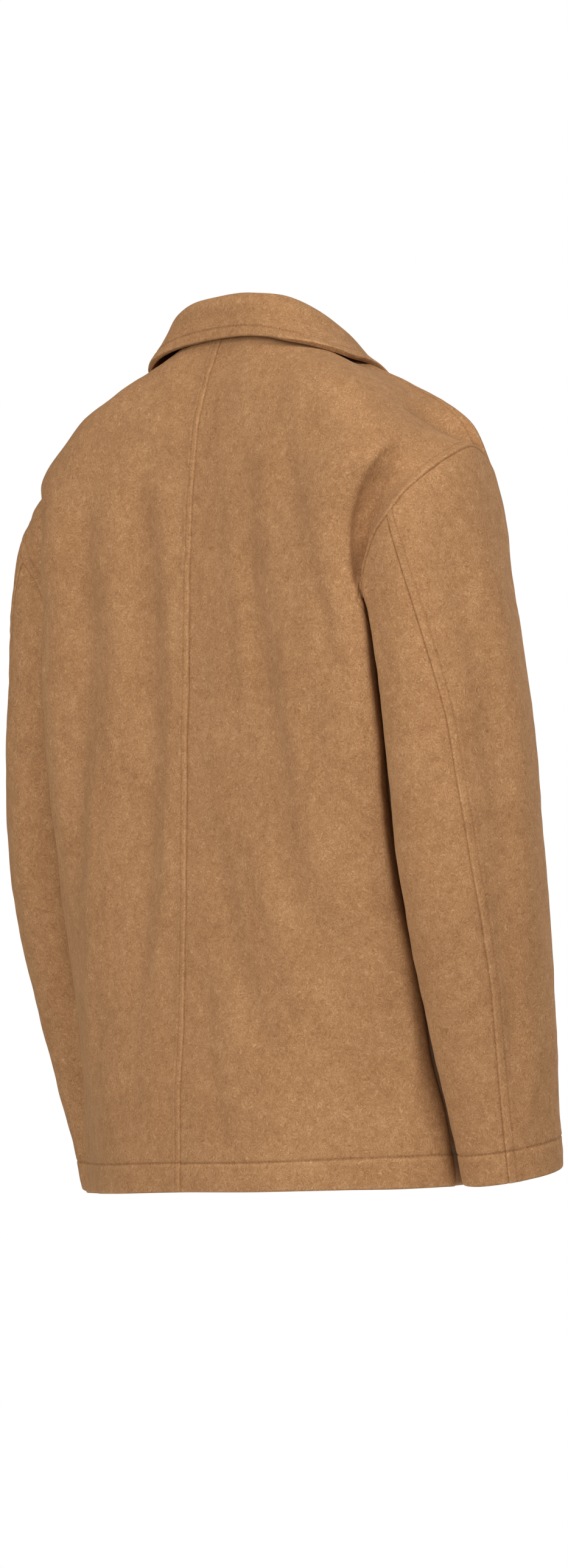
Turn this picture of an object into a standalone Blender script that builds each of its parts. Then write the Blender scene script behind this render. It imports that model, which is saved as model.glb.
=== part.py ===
"""Wool jacket, worn form: hollow, open at neck, hem and cuffs.

The front of the jacket faces -Y and its left side is +X. The origin is the middle of the
neck opening. The tables below are in millimetres for the +X half; the other half is their
mirror image, apart from the folds, which each side has of its own.
"""
import math

import bpy
import numpy as np

# ---------------------------------------------------------------- cloth
CLOTH = 2.2             # one layer of the wool
SEAM_GAP = 0.3          # between neighbouring pieces
HEM_TURN = 25.0         # depth of the turned-up hem and cuffs
HEM_LAYERS = 4.4        # cloth and its turning together
HEM_ROUND = 1.1         # rounding of the folded edge
SHOULDER_TILT = 0.028   # the left shoulder hangs lower: drop per unit of width
MITRE_LIMIT = 1.7       # longest corner offset, in layers of cloth

# ---------------------------------------------------------------- armhole
# Closed loop in order: underarm, back, top, front. The sleeve's back seam starts at
# station 5, its over-arm seam at station 10, and the shoulder seam ends at station 11.
ARMHOLE = np.array([
    # x,    y,     z
    (174.0, 18.0, -292.0),
    (183.5, 51.0, -277.0),
    (187.5, 79.5, -243.0),
    (191.5, 81.0, -219.0),
    (206.0, 82.0, -194.0),
    (219.0, 80.5, -181.0),
    (231.5, 70.0, -163.0),
    (241.0, 48.0, -145.5),
    (244.5, 28.0, -135.0),
    (243.0, 9.0, -129.5),
    (238.0, -9.0, -135.0),
    (229.0, -26.0, -147.0),
    (217.0, -38.0, -170.0),
    (204.0, -43.0, -200.0),
    (192.0, -38.0, -233.0),
    (182.0, -20.0, -266.0),
])
ARM_BACK_SEAM, ARM_TOP_SEAM, ARM_SHOULDER, ARM_LOOP = 5, 10, 11, 16

# ---------------------------------------------------------------- side and shoulder seams
SIDE_SEAM = np.array([
    # level, x,   y,    z
    (0.0, 187.0, -6.0, -701.0),
    (1.0, 177.0, -3.0, -600.0),
    (2.0, 173.0, 5.0, -470.0),
    (3.0, 169.0, 11.0, -400.0),
    (4.0, 166.5, 15.0, -350.0),
    (4.7, 168.5, 17.5, -306.0),
    (5.0, 174.0, 18.0, -292.0),
])
SHOULDER_SEAM = np.array([
    # share, x,   y,     z
    (0.0, 229.0, -26.0, -147.0),
    (0.5, 212.0, -25.5, -113.0),
    (1.0, 190.0, -24.5, -94.5),
    (2.0, 132.0, -18.0, -65.5),
    (3.0, 76.0, -12.0, -38.0),
])

# ---------------------------------------------------------------- back, level by level
# cb: centre back; blade: over the shoulder blade; fold: centre of the rounded fold that
# stands behind the arm, its radius, and the angle in degrees the cloth turns around it.
# Levels 0-5 run from hem to underarm, 5-16 up the armhole, 16-19 along the shoulder seam.
BACK = np.array([
    # level, cb_y, cb_z, blade x, y, z,         fold x, y, z,           radius, turn
    (0.0, 128.5, -696.0, 88.0, 122.0, -697.0, 176.0, 48.0, -700.0, 22.0, 80.0),
    (1.0, 122.0, -600.0, 94.0, 116.0, -600.0, 184.0, 50.0, -600.0, 15.0, 105.0),
    (1.5, 115.0, -540.0, 97.0, 111.0, -540.0, 187.0, 56.0, -540.0, 12.0, 120.0),
    (2.0, 109.5, -470.0, 100.0, 106.0, -470.0, 188.0, 67.0, -470.0, 9.0, 130.0),
    (3.0, 104.5, -400.0, 100.0, 102.5, -400.0, 188.5, 75.0, -400.0, 8.0, 135.0),
    (4.0, 101.0, -350.0, 99.0, 100.5, -350.0, 190.0, 79.0, -350.0, 7.5, 135.0),
    (5.0, 97.0, -300.0, 98.0, 98.0, -298.0, 188.0, 82.5, -294.0, 7.0, 130.0),
    (6.0, 95.3, -275.0, 97.0, 96.3, -273.0, 187.0, 83.0, -268.0, 6.5, 130.0),
    (7.0, 93.8, -250.0, 96.5, 94.8, -248.0, 185.5, 83.5, -244.0, 6.0, 125.0),
    (8.0, 92.3, -228.0, 96.0, 93.5, -226.0, 181.0, 82.5, -222.0, 7.0, 85.0),
    (9.0, 90.5, -205.0, 96.0, 92.5, -203.0, 179.5, 76.0, -199.0, 15.0, 45.0),
    (10.0, 88.5, -185.0, 96.0, 91.5, -182.0, 189.0, 69.0, -176.0, 20.0, 40.0),
    (11.0, 86.5, -165.0, 96.0, 90.0, -162.0, 195.5, 62.0, -154.0, 24.0, 50.0),
    (12.0, 84.5, -145.0, 96.0, 88.3, -142.0, 193.5, 55.0, -134.0, 28.0, 60.0),
    (13.0, 81.5, -125.0, 96.0, 86.0, -122.0, 183.0, 49.0, -118.0, 30.0, 60.0),
    (14.0, 78.5, -106.0, 94.0, 82.5, -103.0, 172.0, 45.0, -103.0, 30.0, 60.0),
    (15.0, 75.0, -88.0, 90.0, 78.0, -85.0, 158.0, 40.5, -88.0, 30.0, 60.0),
    (16.0, 69.5, -72.0, 84.0, 71.5, -68.0, 143.0, 34.0, -73.0, 30.0, 60.0),
    (17.0, 61.5, -52.0, 73.0, 62.5, -50.0, 121.0, 29.0, -58.5, 28.0, 60.0),
    (18.0, 52.5, -33.0, 57.0, 53.0, -33.0, 96.0, 21.0, -45.5, 24.0, 60.0),
    (19.0, 43.0, -14.0, 35.0, 40.5, -15.5, 52.5, 11.5, -22.0, 18.0, 40.0),
])
BACK_STEPS = (4, 3, 2, 2, 2, 2)     # grid steps: cb, blade, fold in, tip, out, tuck, edge
BACK_TUCK = 0.12        # how far the cloth tucks in behind the fold, per unit of its run

# ---------------------------------------------------------------- front, level by level
# Levels 0-5 as the back, 5-10 up the front of the armhole, 10-13 along the shoulder seam.
FRONT = np.array([
    # level, cf_y, cf_z, chest x, y, z,           fold x, y, z,          radius, turn
    (0.0, -130.0, -704.0, 84.0, -121.0, -702.0, 136.0, -64.0, -699.0, 42.0, 60.0),
    (1.0, -133.0, -600.0, 84.0, -123.0, -600.0, 134.0, -60.0, -600.0, 42.0, 65.0),
    (2.0, -134.0, -470.0, 84.0, -124.0, -470.0, 131.0, -54.0, -470.0, 42.0, 72.0),
    (3.0, -135.0, -400.0, 84.0, -125.0, -400.0, 129.0, -51.0, -400.0, 41.0, 76.0),
    (4.0, -136.0, -350.0, 84.0, -126.0, -350.0, 129.0, -50.0, -350.0, 40.0, 78.0),
    (5.0, -137.0, -296.0, 85.0, -127.0, -298.0, 132.0, -50.0, -298.0, 38.0, 72.0),
    (6.0, -136.0, -262.0, 86.0, -126.0, -266.0, 142.0, -54.0, -268.0, 33.0, 62.0),
    (7.0, -134.0, -228.0, 86.0, -122.5, -234.0, 153.0, -60.0, -238.0, 26.0, 50.0),
    (8.0, -130.5, -196.0, 86.0, -116.5, -202.0, 162.0, -58.0, -204.0, 24.0, 42.0),
    (9.0, -125.0, -166.0, 85.0, -108.5, -171.0, 168.0, -47.0, -168.0, 26.0, 38.0),
    (10.0, -117.5, -138.0, 83.0, -98.0, -140.0, 166.0, -32.0, -131.0, 28.0, 34.0),
    (11.0, -112.0, -122.0, 74.0, -91.0, -117.0, 146.0, -28.0, -106.0, 26.0, 32.0),
    (12.0, -107.0, -111.0, 58.0, -84.0, -100.0, 108.0, -26.0, -83.0, 24.0, 32.0),
    (13.0, -102.0, -103.0, 38.0, -84.0, -91.0, 54.0, -38.0, -66.0, 18.0, 40.0),
])
FRONT_STEPS = (4, 3, 2, 2, 1, 2)
FRONT_EXTRA = 2         # grid steps across the overlap
HEM_SPAN = 100.0        # height from level 0 to level 1
LOWER_ROWS = 9          # rows from above the hem to the underarm
SHOULDER_ROWS = 5       # rows along the shoulder seam
OVERLAP = 22.0          # each front runs this far past the centre line
UNDERLAP_DROP = 5.4     # how far the right front lies under the left one
UNDERLAP_BLEND = 30.0   # width over which it drops

# ---------------------------------------------------------------- drape of the back
# Soft folds pressed into (-) or raised on (+) the back, each along a bent line.
BACK_FOLDS = {
    1: (  # left half
        # x, z at top,  middle,          bottom,          half width, height
        (128.0, -120.0, 130.0, -300.0, 146.0, -470.0, 15.0, -6.5),
        (112.0, -330.0, 120.0, -440.0, 136.0, -640.0, 15.0, 6.0),
        (80.0, -170.0, 78.0, -290.0, 80.0, -420.0, 20.0, 3.0),
        (56.0, -150.0, 38.0, -230.0, 27.0, -390.0, 11.0, -2.5),
    ),
    -1: (  # right half
        (68.0, -150.0, 92.0, -280.0, 134.0, -420.0, 15.0, -4.5),
        (104.0, -170.0, 124.0, -270.0, 158.0, -400.0, 17.0, 2.5),
        (22.0, -410.0, 69.0, -490.0, 146.0, -610.0, 16.0, -4.5),
        (56.0, -400.0, 98.0, -470.0, 158.0, -570.0, 16.0, 2.5),
        (22.0, -540.0, 26.0, -600.0, 26.0, -660.0, 13.0, -2.5),
    ),
}
FOLD_ENDS = 60.0        # length over which a fold fades out at each end
FOLD_START = 78.0       # direction from the fold's centre where the cloth starts to turn

# ---------------------------------------------------------------- sleeve
# Ellipses around the arm from just under the armhole to the cuff; back and top seam are
# the angles where the two seams run, from straight back round by the outside.
SLEEVE = np.array([
    # z,      x,     y,    half x, half y, back seam, top seam
    (-345.0, 229.0, 22.5, 50.5, 64.0, 44.0, 150.0),
    (-400.0, 232.5, 22.0, 51.0, 64.0, 48.0, 152.0),
    (-443.0, 233.5, 19.5, 50.5, 62.5, 51.0, 153.0),
    (-490.0, 232.5, 14.0, 49.3, 60.0, 54.0, 153.0),
    (-540.0, 230.5, 6.0, 46.5, 56.5, 55.0, 152.0),
    (-590.0, 229.0, -1.5, 44.0, 52.5, 52.0, 151.0),
    (-640.0, 228.5, -8.5, 40.0, 46.5, 48.0, 150.0),
    (-696.0, 228.5, -16.0, 36.5, 42.0, 45.0, 150.0),
])
SLEEVE_LEAVE = np.array([
    # armhole station, direction in which the sleeve leaves it (x, y, z), reach
    (0.0, 0.58, 0.00, -0.82, 30.0),
    (1.0, 0.66, -0.05, -0.75, 38.0),
    (2.0, 0.76, 0.06, -0.64, 50.0),
    (3.0, 0.62, 0.22, -0.75, 56.0),
    (4.0, 0.52, 0.22, -0.82, 66.0),
    (5.0, 0.40, 0.20, -0.90, 78.0),
    (6.0, 0.44, 0.17, -0.88, 92.0),
    (7.0, 0.46, 0.10, -0.88, 102.0),
    (8.0, 0.46, 0.03, -0.89, 108.0),
    (9.0, 0.42, -0.04, -0.91, 108.0),
    (10.0, 0.36, -0.10, -0.93, 106.0),
    (11.0, 0.34, -0.17, -0.92, 100.0),
    (12.0, 0.40, -0.32, -0.86, 88.0),
    (13.0, 0.45, -0.45, -0.77, 70.0),
    (14.0, 0.48, -0.50, -0.72, 52.0),
    (15.0, 0.50, -0.35, -0.79, 38.0),
    (16.0, 0.58, 0.00, -0.82, 30.0),
])
SLEEVE_FOLDS = {
    1: (
        # angle, z at top, angle, z at bottom, half width in degrees, height
        (84.0, -200.0, 70.0, -640.0, 16.0, -3.0),
        (-62.0, -292.0, -60.0, -720.0, 20.0, -4.0),
        (255.0, -420.0, 235.0, -380.0, 22.0, -3.0),
        (20.0, -330.0, 26.0, -560.0, 14.0, -2.0),
    ),
    -1: (
        (84.0, -190.0, 68.0, -650.0, 16.0, -3.0),
        (-62.0, -292.0, -60.0, -720.0, 20.0, -4.0),
        (112.0, -210.0, 98.0, -520.0, 14.0, 2.0),
        (22.0, -300.0, 20.0, -480.0, 14.0, -2.0),
    ),
}
ARM_STEPS = (7, 7, 1, 8)        # armhole steps: underarm, back seam, top seam, shoulder, underarm
CAP_STEPS = 7                   # from the armhole down to the first ellipse
LOWER_STEPS = 12                # from there to the hem of the sleeve

# ---------------------------------------------------------------- collar
# Three lines round the neck at matched places: neck seam, fold line and outer edge.
COLLAR = np.array([
    # place, seam x, y, z,       fold x, y, z,         edge x, y, z
    (0.0, 0.0, 43.0, -14.0, 0.0, 45.5, 12.5, 0.0, 54.0, -22.0),
    (1.0, 35.0, 40.5, -15.5, 34.5, 42.5, 11.5, 42.5, 54.0, -24.0),
    (2.0, 59.5, 29.0, -20.5, 59.0, 28.0, 6.5, 83.0, 51.0, -31.0),
    (3.0, 72.5, 8.0, -29.5, 74.0, 6.5, -8.5, 113.0, 20.5, -45.0),
    (4.0, 76.0, -12.0, -38.0, 76.0, -14.5, -25.0, 108.0, -18.0, -54.0),
    (5.0, 70.5, -42.0, -57.0, 69.0, -44.0, -44.0, 100.5, -51.0, -84.0),
    (6.0, 52.0, -72.0, -78.0, 53.0, -76.0, -63.0, 97.0, -80.0, -114.0),
    (7.0, 27.0, -93.0, -96.0, 27.0, -98.5, -80.0, 84.0, -102.0, -140.0),
    (8.0, 6.0, -101.5, -102.5, 6.0, -108.0, -86.0, 66.0, -113.0, -160.0),
])
COLLAR_STEPS = 2        # grid steps from one place to the next
FOLD_HALF = 6.5         # half the width of the rolled fold, over all the layers
STAND_IN = 2.2          # the stand starts this far inside the neck seam
UNDER_INSET = 0.5       # the under collar stops this much short of the upper one
COLLAR_REST = 6.0       # height of the collar's top side over the cloth it lies on
REST_SOFT = 0.5         # how softly it lands there
REST_FINER = 4          # columns tested for each one kept
COLLAR_ROWS = (1, 1, 2, 2, 2, 2)    # grid steps: stand, into the fold, over it, fall
FALL_FROM = 6           # row where the fall starts to lie on the body

# ---------------------------------------------------------------- buttons
BUTTON_RADIUS = 10.0
BUTTON_THICK = 3.6
BUTTON_RIM = 0.8
BUTTON_SIDES = 16
BUTTON_LIFT = 0.4
BUTTON_Z = (-128.0, -238.0, -348.0, -458.0, -568.0)

SHARP_ANGLE = 50.0      # edges turning more than this stay crisp
WOOL = (0.402, 0.209, 0.095, 1.0)
HORN = (0.085, 0.045, 0.024, 1.0)
WOOL_ROUGHNESS = 0.9
HORN_ROUGHNESS = 0.35


# ================================================================ curves
def spline(knots, values, at):
    """Smooth curve through the values at the knots, read at the places in at."""
    knots = np.asarray(knots, float)
    values = np.asarray(values, float)
    at = np.atleast_1d(np.asarray(at, float))
    step = np.diff(knots)
    shape = (-1,) + (1,) * (values.ndim - 1)
    slope = np.diff(values, axis=0) / step.reshape(shape)
    tangent = np.empty_like(values)
    tangent[0], tangent[-1] = slope[0], slope[-1]
    before, after = step[:-1].reshape(shape), step[1:].reshape(shape)
    tangent[1:-1] = (slope[:-1] * after + slope[1:] * before) / (before + after)
    span = np.clip(np.searchsorted(knots, at, side="right") - 1, 0, len(step) - 1)
    width = step[span].reshape(shape)
    t = ((at - knots[span]) / step[span]).reshape(shape)
    return ((2 * t**3 - 3 * t**2 + 1) * values[span]
            + (t**3 - 2 * t**2 + t) * width * tangent[span]
            + (3 * t**2 - 2 * t**3) * values[span + 1]
            + (t**3 - t**2) * width * tangent[span + 1])


def armhole(stations):
    """Points of the armhole loop at the given stations."""
    around = np.concatenate([ARMHOLE[-3:], ARMHOLE, ARMHOLE[:4]])
    return spline(np.arange(-3, ARM_LOOP + 4), around, stations)


def unit(vectors):
    """The same vectors at length one."""
    return vectors / np.maximum(np.linalg.norm(vectors, axis=-1, keepdims=True), 1e-12)


def steps_between(marks, counts):
    """Evenly split places between neighbouring marks."""
    places = [np.linspace(a, b, n, endpoint=False)
              for a, b, n in zip(marks[:-1], marks[1:], counts)]
    return np.concatenate(places + [np.array([marks[-1]])])


def section(middle, broad, fold, radius, turn, edge, tuck, front, counts):
    """One level of a body panel, from its centre line round the fold to its edge."""
    angles = math.radians(FOLD_START) - math.radians(turn) * np.array([0.0, 0.5, 1.0])
    way = -1.0 if front else 1.0
    ring = np.stack([fold[0] + radius * np.cos(angles),
                     fold[1] + way * radius * np.sin(angles)], axis=1)
    behind = np.array(edge[:2]) - ring[2]
    tucked = ring[2] + behind / 2.0 + way * tuck * np.array([behind[1], -behind[0]])
    flat = np.vstack([(0.0, middle[0]), broad[:2], ring, tucked, edge[:2]])
    reach = np.concatenate([[0.0], np.cumsum(np.linalg.norm(np.diff(flat, axis=0), axis=1))])
    places = steps_between(reach, counts)
    if front:
        places = np.concatenate([np.linspace(-OVERLAP, 0.0, FRONT_EXTRA + 1)[:-1], places])
    line = spline(np.concatenate([[-reach[1]], reach]),
                  np.vstack([flat[1] * (-1.0, 1.0), flat]), places)
    heights = spline([-reach[1], 0.0, reach[1], reach[3], reach[-1]],
                     [broad[2], middle[1], broad[2], fold[2], edge[2]], places)
    return np.column_stack([line, heights])


# ================================================================ body
def edge_of(level, front):
    """Edge point of a body panel: side seam, armhole, then shoulder seam."""
    if level <= 5.0:
        return spline(SIDE_SEAM[:, 0], SIDE_SEAM[:, 1:], level)[0]
    top = 10.0 if front else 16.0
    if level <= top:
        return armhole(ARM_LOOP - (level - 5.0) if front else level - 5.0)[0]
    return spline(SHOULDER_SEAM[:, 0], SHOULDER_SEAM[:, 1:], level - top)[0]


def back_folds(points, side):
    """Height of the soft folds of one half of the back at the given points."""
    height = np.zeros(points.shape[:-1])
    for x0, z0, x1, z1, x2, z2, half, rise in BACK_FOLDS[side]:
        z = np.clip(points[..., 2], z2, z0)
        centre = spline([-z0, -z1, -z2], [x0, x1, x2], -z.ravel()).reshape(z.shape)
        into = np.minimum(z0 - points[..., 2], points[..., 2] - z2) / FOLD_ENDS
        fade = np.clip(into, 0.0, 1.0)
        fade = fade * fade * (3.0 - 2.0 * fade)
        height += rise * fade * np.exp(-((points[..., 0] - centre) / half) ** 2)
    return height


def body_panel(table, levels, side, front, counts):
    """Grid of points of one body panel, a row for each level."""
    rows = []
    for level, row in zip(levels, spline(table[:, 0], table[:, 1:], levels)):
        rows.append(section(row[0:2], row[2:5], row[5:8], row[8], row[9],
                            edge_of(level, front), 0.0 if front else BACK_TUCK,
                            front, counts))
    grid = np.array(rows)
    if not front:
        grid[..., 1] += back_folds(grid, side)
    return grid


def body_levels(upper_marks, upper_counts):
    """Levels of the rows of a panel: folded edge, turned-up hem, then evenly on."""
    hem = [0.0, HEM_ROUND / HEM_SPAN, HEM_TURN / HEM_SPAN, (HEM_TURN + 2.0) / HEM_SPAN]
    return np.concatenate([hem, steps_between([0.6, 5.0], [LOWER_ROWS])[:-1],
                           steps_between(upper_marks, upper_counts)])


# ================================================================ sleeve
def ring(z, stations):
    """Ellipse square to the arm at height z, read at the armhole stations."""
    table = SLEEVE[::-1]
    x, y, half_x, half_y, back, top = spline(table[:, 0], table[:, 1:], z)[0]
    ahead = spline(table[:, 0], table[:, 1:3], z + 1.0)[0] - (x, y)
    turn = np.interp(stations, [0.0, ARM_BACK_SEAM, ARM_TOP_SEAM, ARM_LOOP],
                     [-88.0, back, top, 272.0])
    angle = np.radians(turn)
    off_x, off_y = half_x * np.sin(angle), half_y * np.cos(angle)
    tilt = -(ahead[0] * off_x + ahead[1] * off_y)
    return np.column_stack([x + off_x, y + off_y, z + tilt]), turn


def sleeve_folds(points, turns, side):
    """Height of the soft folds of one sleeve."""
    height = np.zeros(len(points))
    for a0, z0, a1, z1, half, rise in SLEEVE_FOLDS[side]:
        top, bottom = max(z0, z1), min(z0, z1)
        share = np.clip((points[:, 2] - z0) / (z1 - z0), 0.0, 1.0)
        off = (turns - (a0 + (a1 - a0) * share) + 180.0) % 360.0 - 180.0
        into = np.minimum(top - points[:, 2], points[:, 2] - bottom) / FOLD_ENDS
        fade = np.clip(into, 0.0, 1.0)
        height += rise * fade * fade * (3.0 - 2.0 * fade) * np.exp(-(off / half) ** 2)
    return height


def sleeve_grid(stations, side):
    """Grid of a whole sleeve: a row for each ring, a column for each armhole station."""
    stations = np.asarray(stations, float)
    start = armhole(stations)
    leave = spline(SLEEVE_LEAVE[:, 0], SLEEVE_LEAVE[:, 1:], stations)
    z1, z2 = SLEEVE[0, 0], SLEEVE[-1, 0]
    first, turns = ring(z1, stations)
    below, _ = ring(z1 - 5.0, stations)
    rows = []
    for s in np.linspace(0.0, 1.0, CAP_STEPS, endpoint=False):
        reach = leave[:, 3:4]
        out = unit(leave[:, :3]) * reach
        down = unit(below - first) * reach
        rows.append((2 * s**3 - 3 * s**2 + 1) * start + (s**3 - 2 * s**2 + s) * out
                    + (3 * s**2 - 2 * s**3) * first + (s**3 - s**2) * down)
    lower = np.linspace(z1, z2 + HEM_TURN + 2.0, LOWER_STEPS + 1)
    for z in list(lower) + [z2 + HEM_TURN, z2 + HEM_ROUND, z2]:
        rows.append(ring(z, stations)[0])
    grid = np.array(rows)
    for row in grid:
        out = unit((row - row.mean(axis=0)) * (1.0, 1.0, 0.0))
        row += out * sleeve_folds(row, turns, side)[:, None]
    return grid


# ================================================================ cloth walls
def normals_of(grid, outward, closed=False):
    """Unit normals of a grid; outward is 1 or -1 for the way its rows and columns run."""
    across = np.gradient(grid, axis=1)
    if closed:
        ring_only = grid[:, :-1]
        turn = np.roll(ring_only, -1, axis=1) - np.roll(ring_only, 1, axis=1)
        across = np.concatenate([turn, turn[:, :1]], axis=1)
    return outward * unit(np.cross(np.gradient(grid, axis=0), across))


def mitre(first, second):
    """Offset shared by two pieces that meet, long enough to keep their thickness."""
    total = unit(first + second)
    lean = np.sum(total * first, axis=-1, keepdims=True)
    return total / np.maximum(lean, 1.0 / MITRE_LIMIT)


def seam_shift(line, offset, toward):
    """Half the seam gap, square to the seam and into the panel."""
    into = unit(np.cross(np.gradient(line, axis=0), offset))
    way = np.sign(np.sum(into * toward, axis=1, keepdims=True))
    return into * way * SEAM_GAP / 2.0


def wall(name, grid, offset, seams, depth, lift, mirror):
    """Closed cloth wall on a grid with outward offsets.

    seams lists the joined stretches of its edges: the edge, then the first and last place.
    """
    shift = np.zeros_like(grid)
    turned = {"first": (grid, offset, shift),
              "last": (grid[:, ::-1], offset[:, ::-1], shift[:, ::-1]),
              "start": tuple(a.transpose(1, 0, 2) for a in (grid, offset, shift)),
              "end": tuple(a[::-1].transpose(1, 0, 2) for a in (grid, offset, shift))}
    for edge, begin, end in seams:
        points, out, moved = (a[begin:end] for a in turned[edge])
        moved[:, 0] += seam_shift(points[:, 0], out[:, 0], points[:, 1] - points[:, 0])
    outer = grid + shift - offset * lift[:, None, None]
    inner = grid + shift - offset * depth[:, None, None]
    solid(name, outer, inner, mirror)


def solid(name, outer, inner, mirror):
    """Closed shell between two matching grids."""
    rows, cols = outer.shape[:2]
    points = np.concatenate([outer.reshape(-1, 3), inner.reshape(-1, 3)])
    if mirror:
        points = points * (-1.0, 1.0, 1.0)
    count = rows * cols
    faces = []
    for r in range(rows - 1):
        for c in range(cols - 1):
            a, b = r * cols + c, r * cols + c + 1
            d, e = a + cols, b + cols
            faces.append((a, b, e, d))
            faces.append((count + a, count + d, count + e, count + b))
    rim = ([c for c in range(cols)] + [r * cols + cols - 1 for r in range(1, rows)]
           + [(rows - 1) * cols + c for c in range(cols - 2, -1, -1)]
           + [r * cols for r in range(rows - 2, 0, -1)])
    for a, b in zip(rim, rim[1:] + rim[:1]):
        inner_a, inner_b = count + a, count + b
        if (np.linalg.norm(points[a] - points[inner_b])
                < np.linalg.norm(points[b] - points[inner_a])):
            faces += [(b, a, inner_b), (a, inner_a, inner_b)]
        else:
            faces += [(b, a, inner_a), (b, inner_a, inner_b)]
    add_object(name, points, faces, WOOL, WOOL_ROUGHNESS)


def add_object(name, points, faces, colour, roughness):
    """One named mesh object with its own material, from points in millimetres."""
    points = np.array(points, float)
    points[:, 2] -= SHOULDER_TILT * points[:, 0]
    corners = [points[list(face[:3])] for face in faces]
    volume = sum(np.dot(a, np.cross(b, c)) for a, b, c in corners)
    for face in faces:
        if len(face) == 4:
            a, b, c = points[face[0]], points[face[2]], points[face[3]]
            volume += np.dot(a, np.cross(b, c))
    if volume < 0.0:
        faces = [face[::-1] for face in faces]
    mesh = bpy.data.meshes.new(name)
    mesh.from_pydata([tuple(p) for p in points * 0.001], [], faces)
    item = bpy.data.objects.new(name, mesh)
    bpy.context.scene.collection.objects.link(item)
    material = bpy.data.materials.new(name + "_surface")
    material.use_nodes = True
    shader = material.node_tree.nodes["Principled BSDF"]
    shader.inputs["Base Color"].default_value = colour
    shader.inputs["Roughness"].default_value = roughness
    shader.inputs["Metallic"].default_value = 0.0
    mesh.materials.append(material)
    for polygon in mesh.polygons:
        polygon.use_smooth = True
    mesh.set_sharp_from_angle(angle=math.radians(SHARP_ANGLE))


# ================================================================ pieces
def underlap(grid):
    """Drop the part of the right front that lies under the left one."""
    share = np.clip((grid[..., 0] - OVERLAP - 2.0) / UNDERLAP_BLEND, 0.0, 1.0)
    grid[..., 1] += UNDERLAP_DROP * (1.0 - share * share * (3.0 - 2.0 * share))


def hem_depths(rows, at_end):
    """Wall depth and lift of each row of a panel with a turned-up hem."""
    depth, lift = np.full(rows, CLOTH), np.zeros(rows)
    depth[:3] = (HEM_LAYERS - HEM_ROUND, HEM_LAYERS, HEM_LAYERS)
    lift[0] = HEM_ROUND
    return (depth[::-1], lift[::-1]) if at_end else (depth, lift)


def garment_half(side):
    """Body panels and sleeve of one side."""
    tag = "left" if side == 1 else "right"
    back_levels = body_levels([5.0, 10.0, 15.0, 16.0, 19.0],
                              ARM_STEPS[:3] + (SHOULDER_ROWS,))
    front_levels = body_levels([5.0, 10.0, 13.0], (ARM_STEPS[3], SHOULDER_ROWS))
    stations = steps_between([0.0, ARM_BACK_SEAM, ARM_TOP_SEAM, ARM_SHOULDER, ARM_LOOP],
                             ARM_STEPS)
    back = body_panel(BACK, back_levels, side, False, BACK_STEPS)
    front = body_panel(FRONT, front_levels, side, True, FRONT_STEPS)
    if side == -1:
        underlap(front)
    sleeve = sleeve_grid(stations, side)
    back_out = normals_of(back, 1.0)
    front_out = normals_of(front, -1.0)
    sleeve_out = normals_of(sleeve, -1.0, closed=True)
    back_out[:, 0] = unit(back_out[:, 0] * (0.0, 1.0, 1.0))

    low = 4 + LOWER_ROWS                        # row of the underarm
    back_top = low + sum(ARM_STEPS[:3])         # row of the shoulder end
    front_top = low + ARM_STEPS[3]
    side_seam = mitre(back_out[:low + 1, -1], front_out[:low + 1, -1])
    shoulder = mitre(back_out[back_top:, -1], front_out[front_top:, -1])
    loop = np.concatenate([back_out[low:back_top + 1, -1],
                           front_out[low:front_top, -1][::-1]])
    loop[0] = loop[-1] = side_seam[-1]
    loop[back_top - low] = shoulder[0]
    hole = mitre(unit(loop), sleeve_out[0])
    hole[0] = hole[-1] = (hole[0] + hole[-1]) / 2.0
    back_out[:low, -1] = front_out[:low, -1] = side_seam[:-1]
    back_out[back_top:, -1] = front_out[front_top:, -1] = shoulder
    back_out[low:back_top + 1, -1] = hole[:back_top - low + 1]
    front_out[low:front_top + 1, -1] = hole[back_top - low:][::-1]
    sleeve_out[0] = hole

    depth, lift = hem_depths(len(back), False)
    wall("back_" + tag, back, back_out,
         (("first", 0, None), ("last", 0, low + 1), ("last", low, back_top + 1),
          ("last", back_top, None), ("end", 0, None)), depth, lift, side == -1)
    depth, lift = hem_depths(len(front), False)
    wall("front_" + tag, front, front_out,
         (("last", 0, low + 1), ("last", low, front_top + 1), ("last", front_top, None),
          ("end", 0, None)), depth, lift, side == -1)
    depth, lift = hem_depths(len(sleeve), True)
    first, second = ARM_STEPS[0], sum(ARM_STEPS[:2])
    under = np.r_[second:sleeve.shape[1], 1:first + 1]
    sleeve_seams = (("first", 0, None), ("last", 0, None), ("start", 0, None))
    for name, columns in (("outer", np.arange(first, second + 1)), ("under", under)):
        wall("sleeve_%s_%s" % (name, tag), sleeve[:, columns], sleeve_out[:, columns],
             sleeve_seams, depth, lift, side == -1)
    return front


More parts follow.
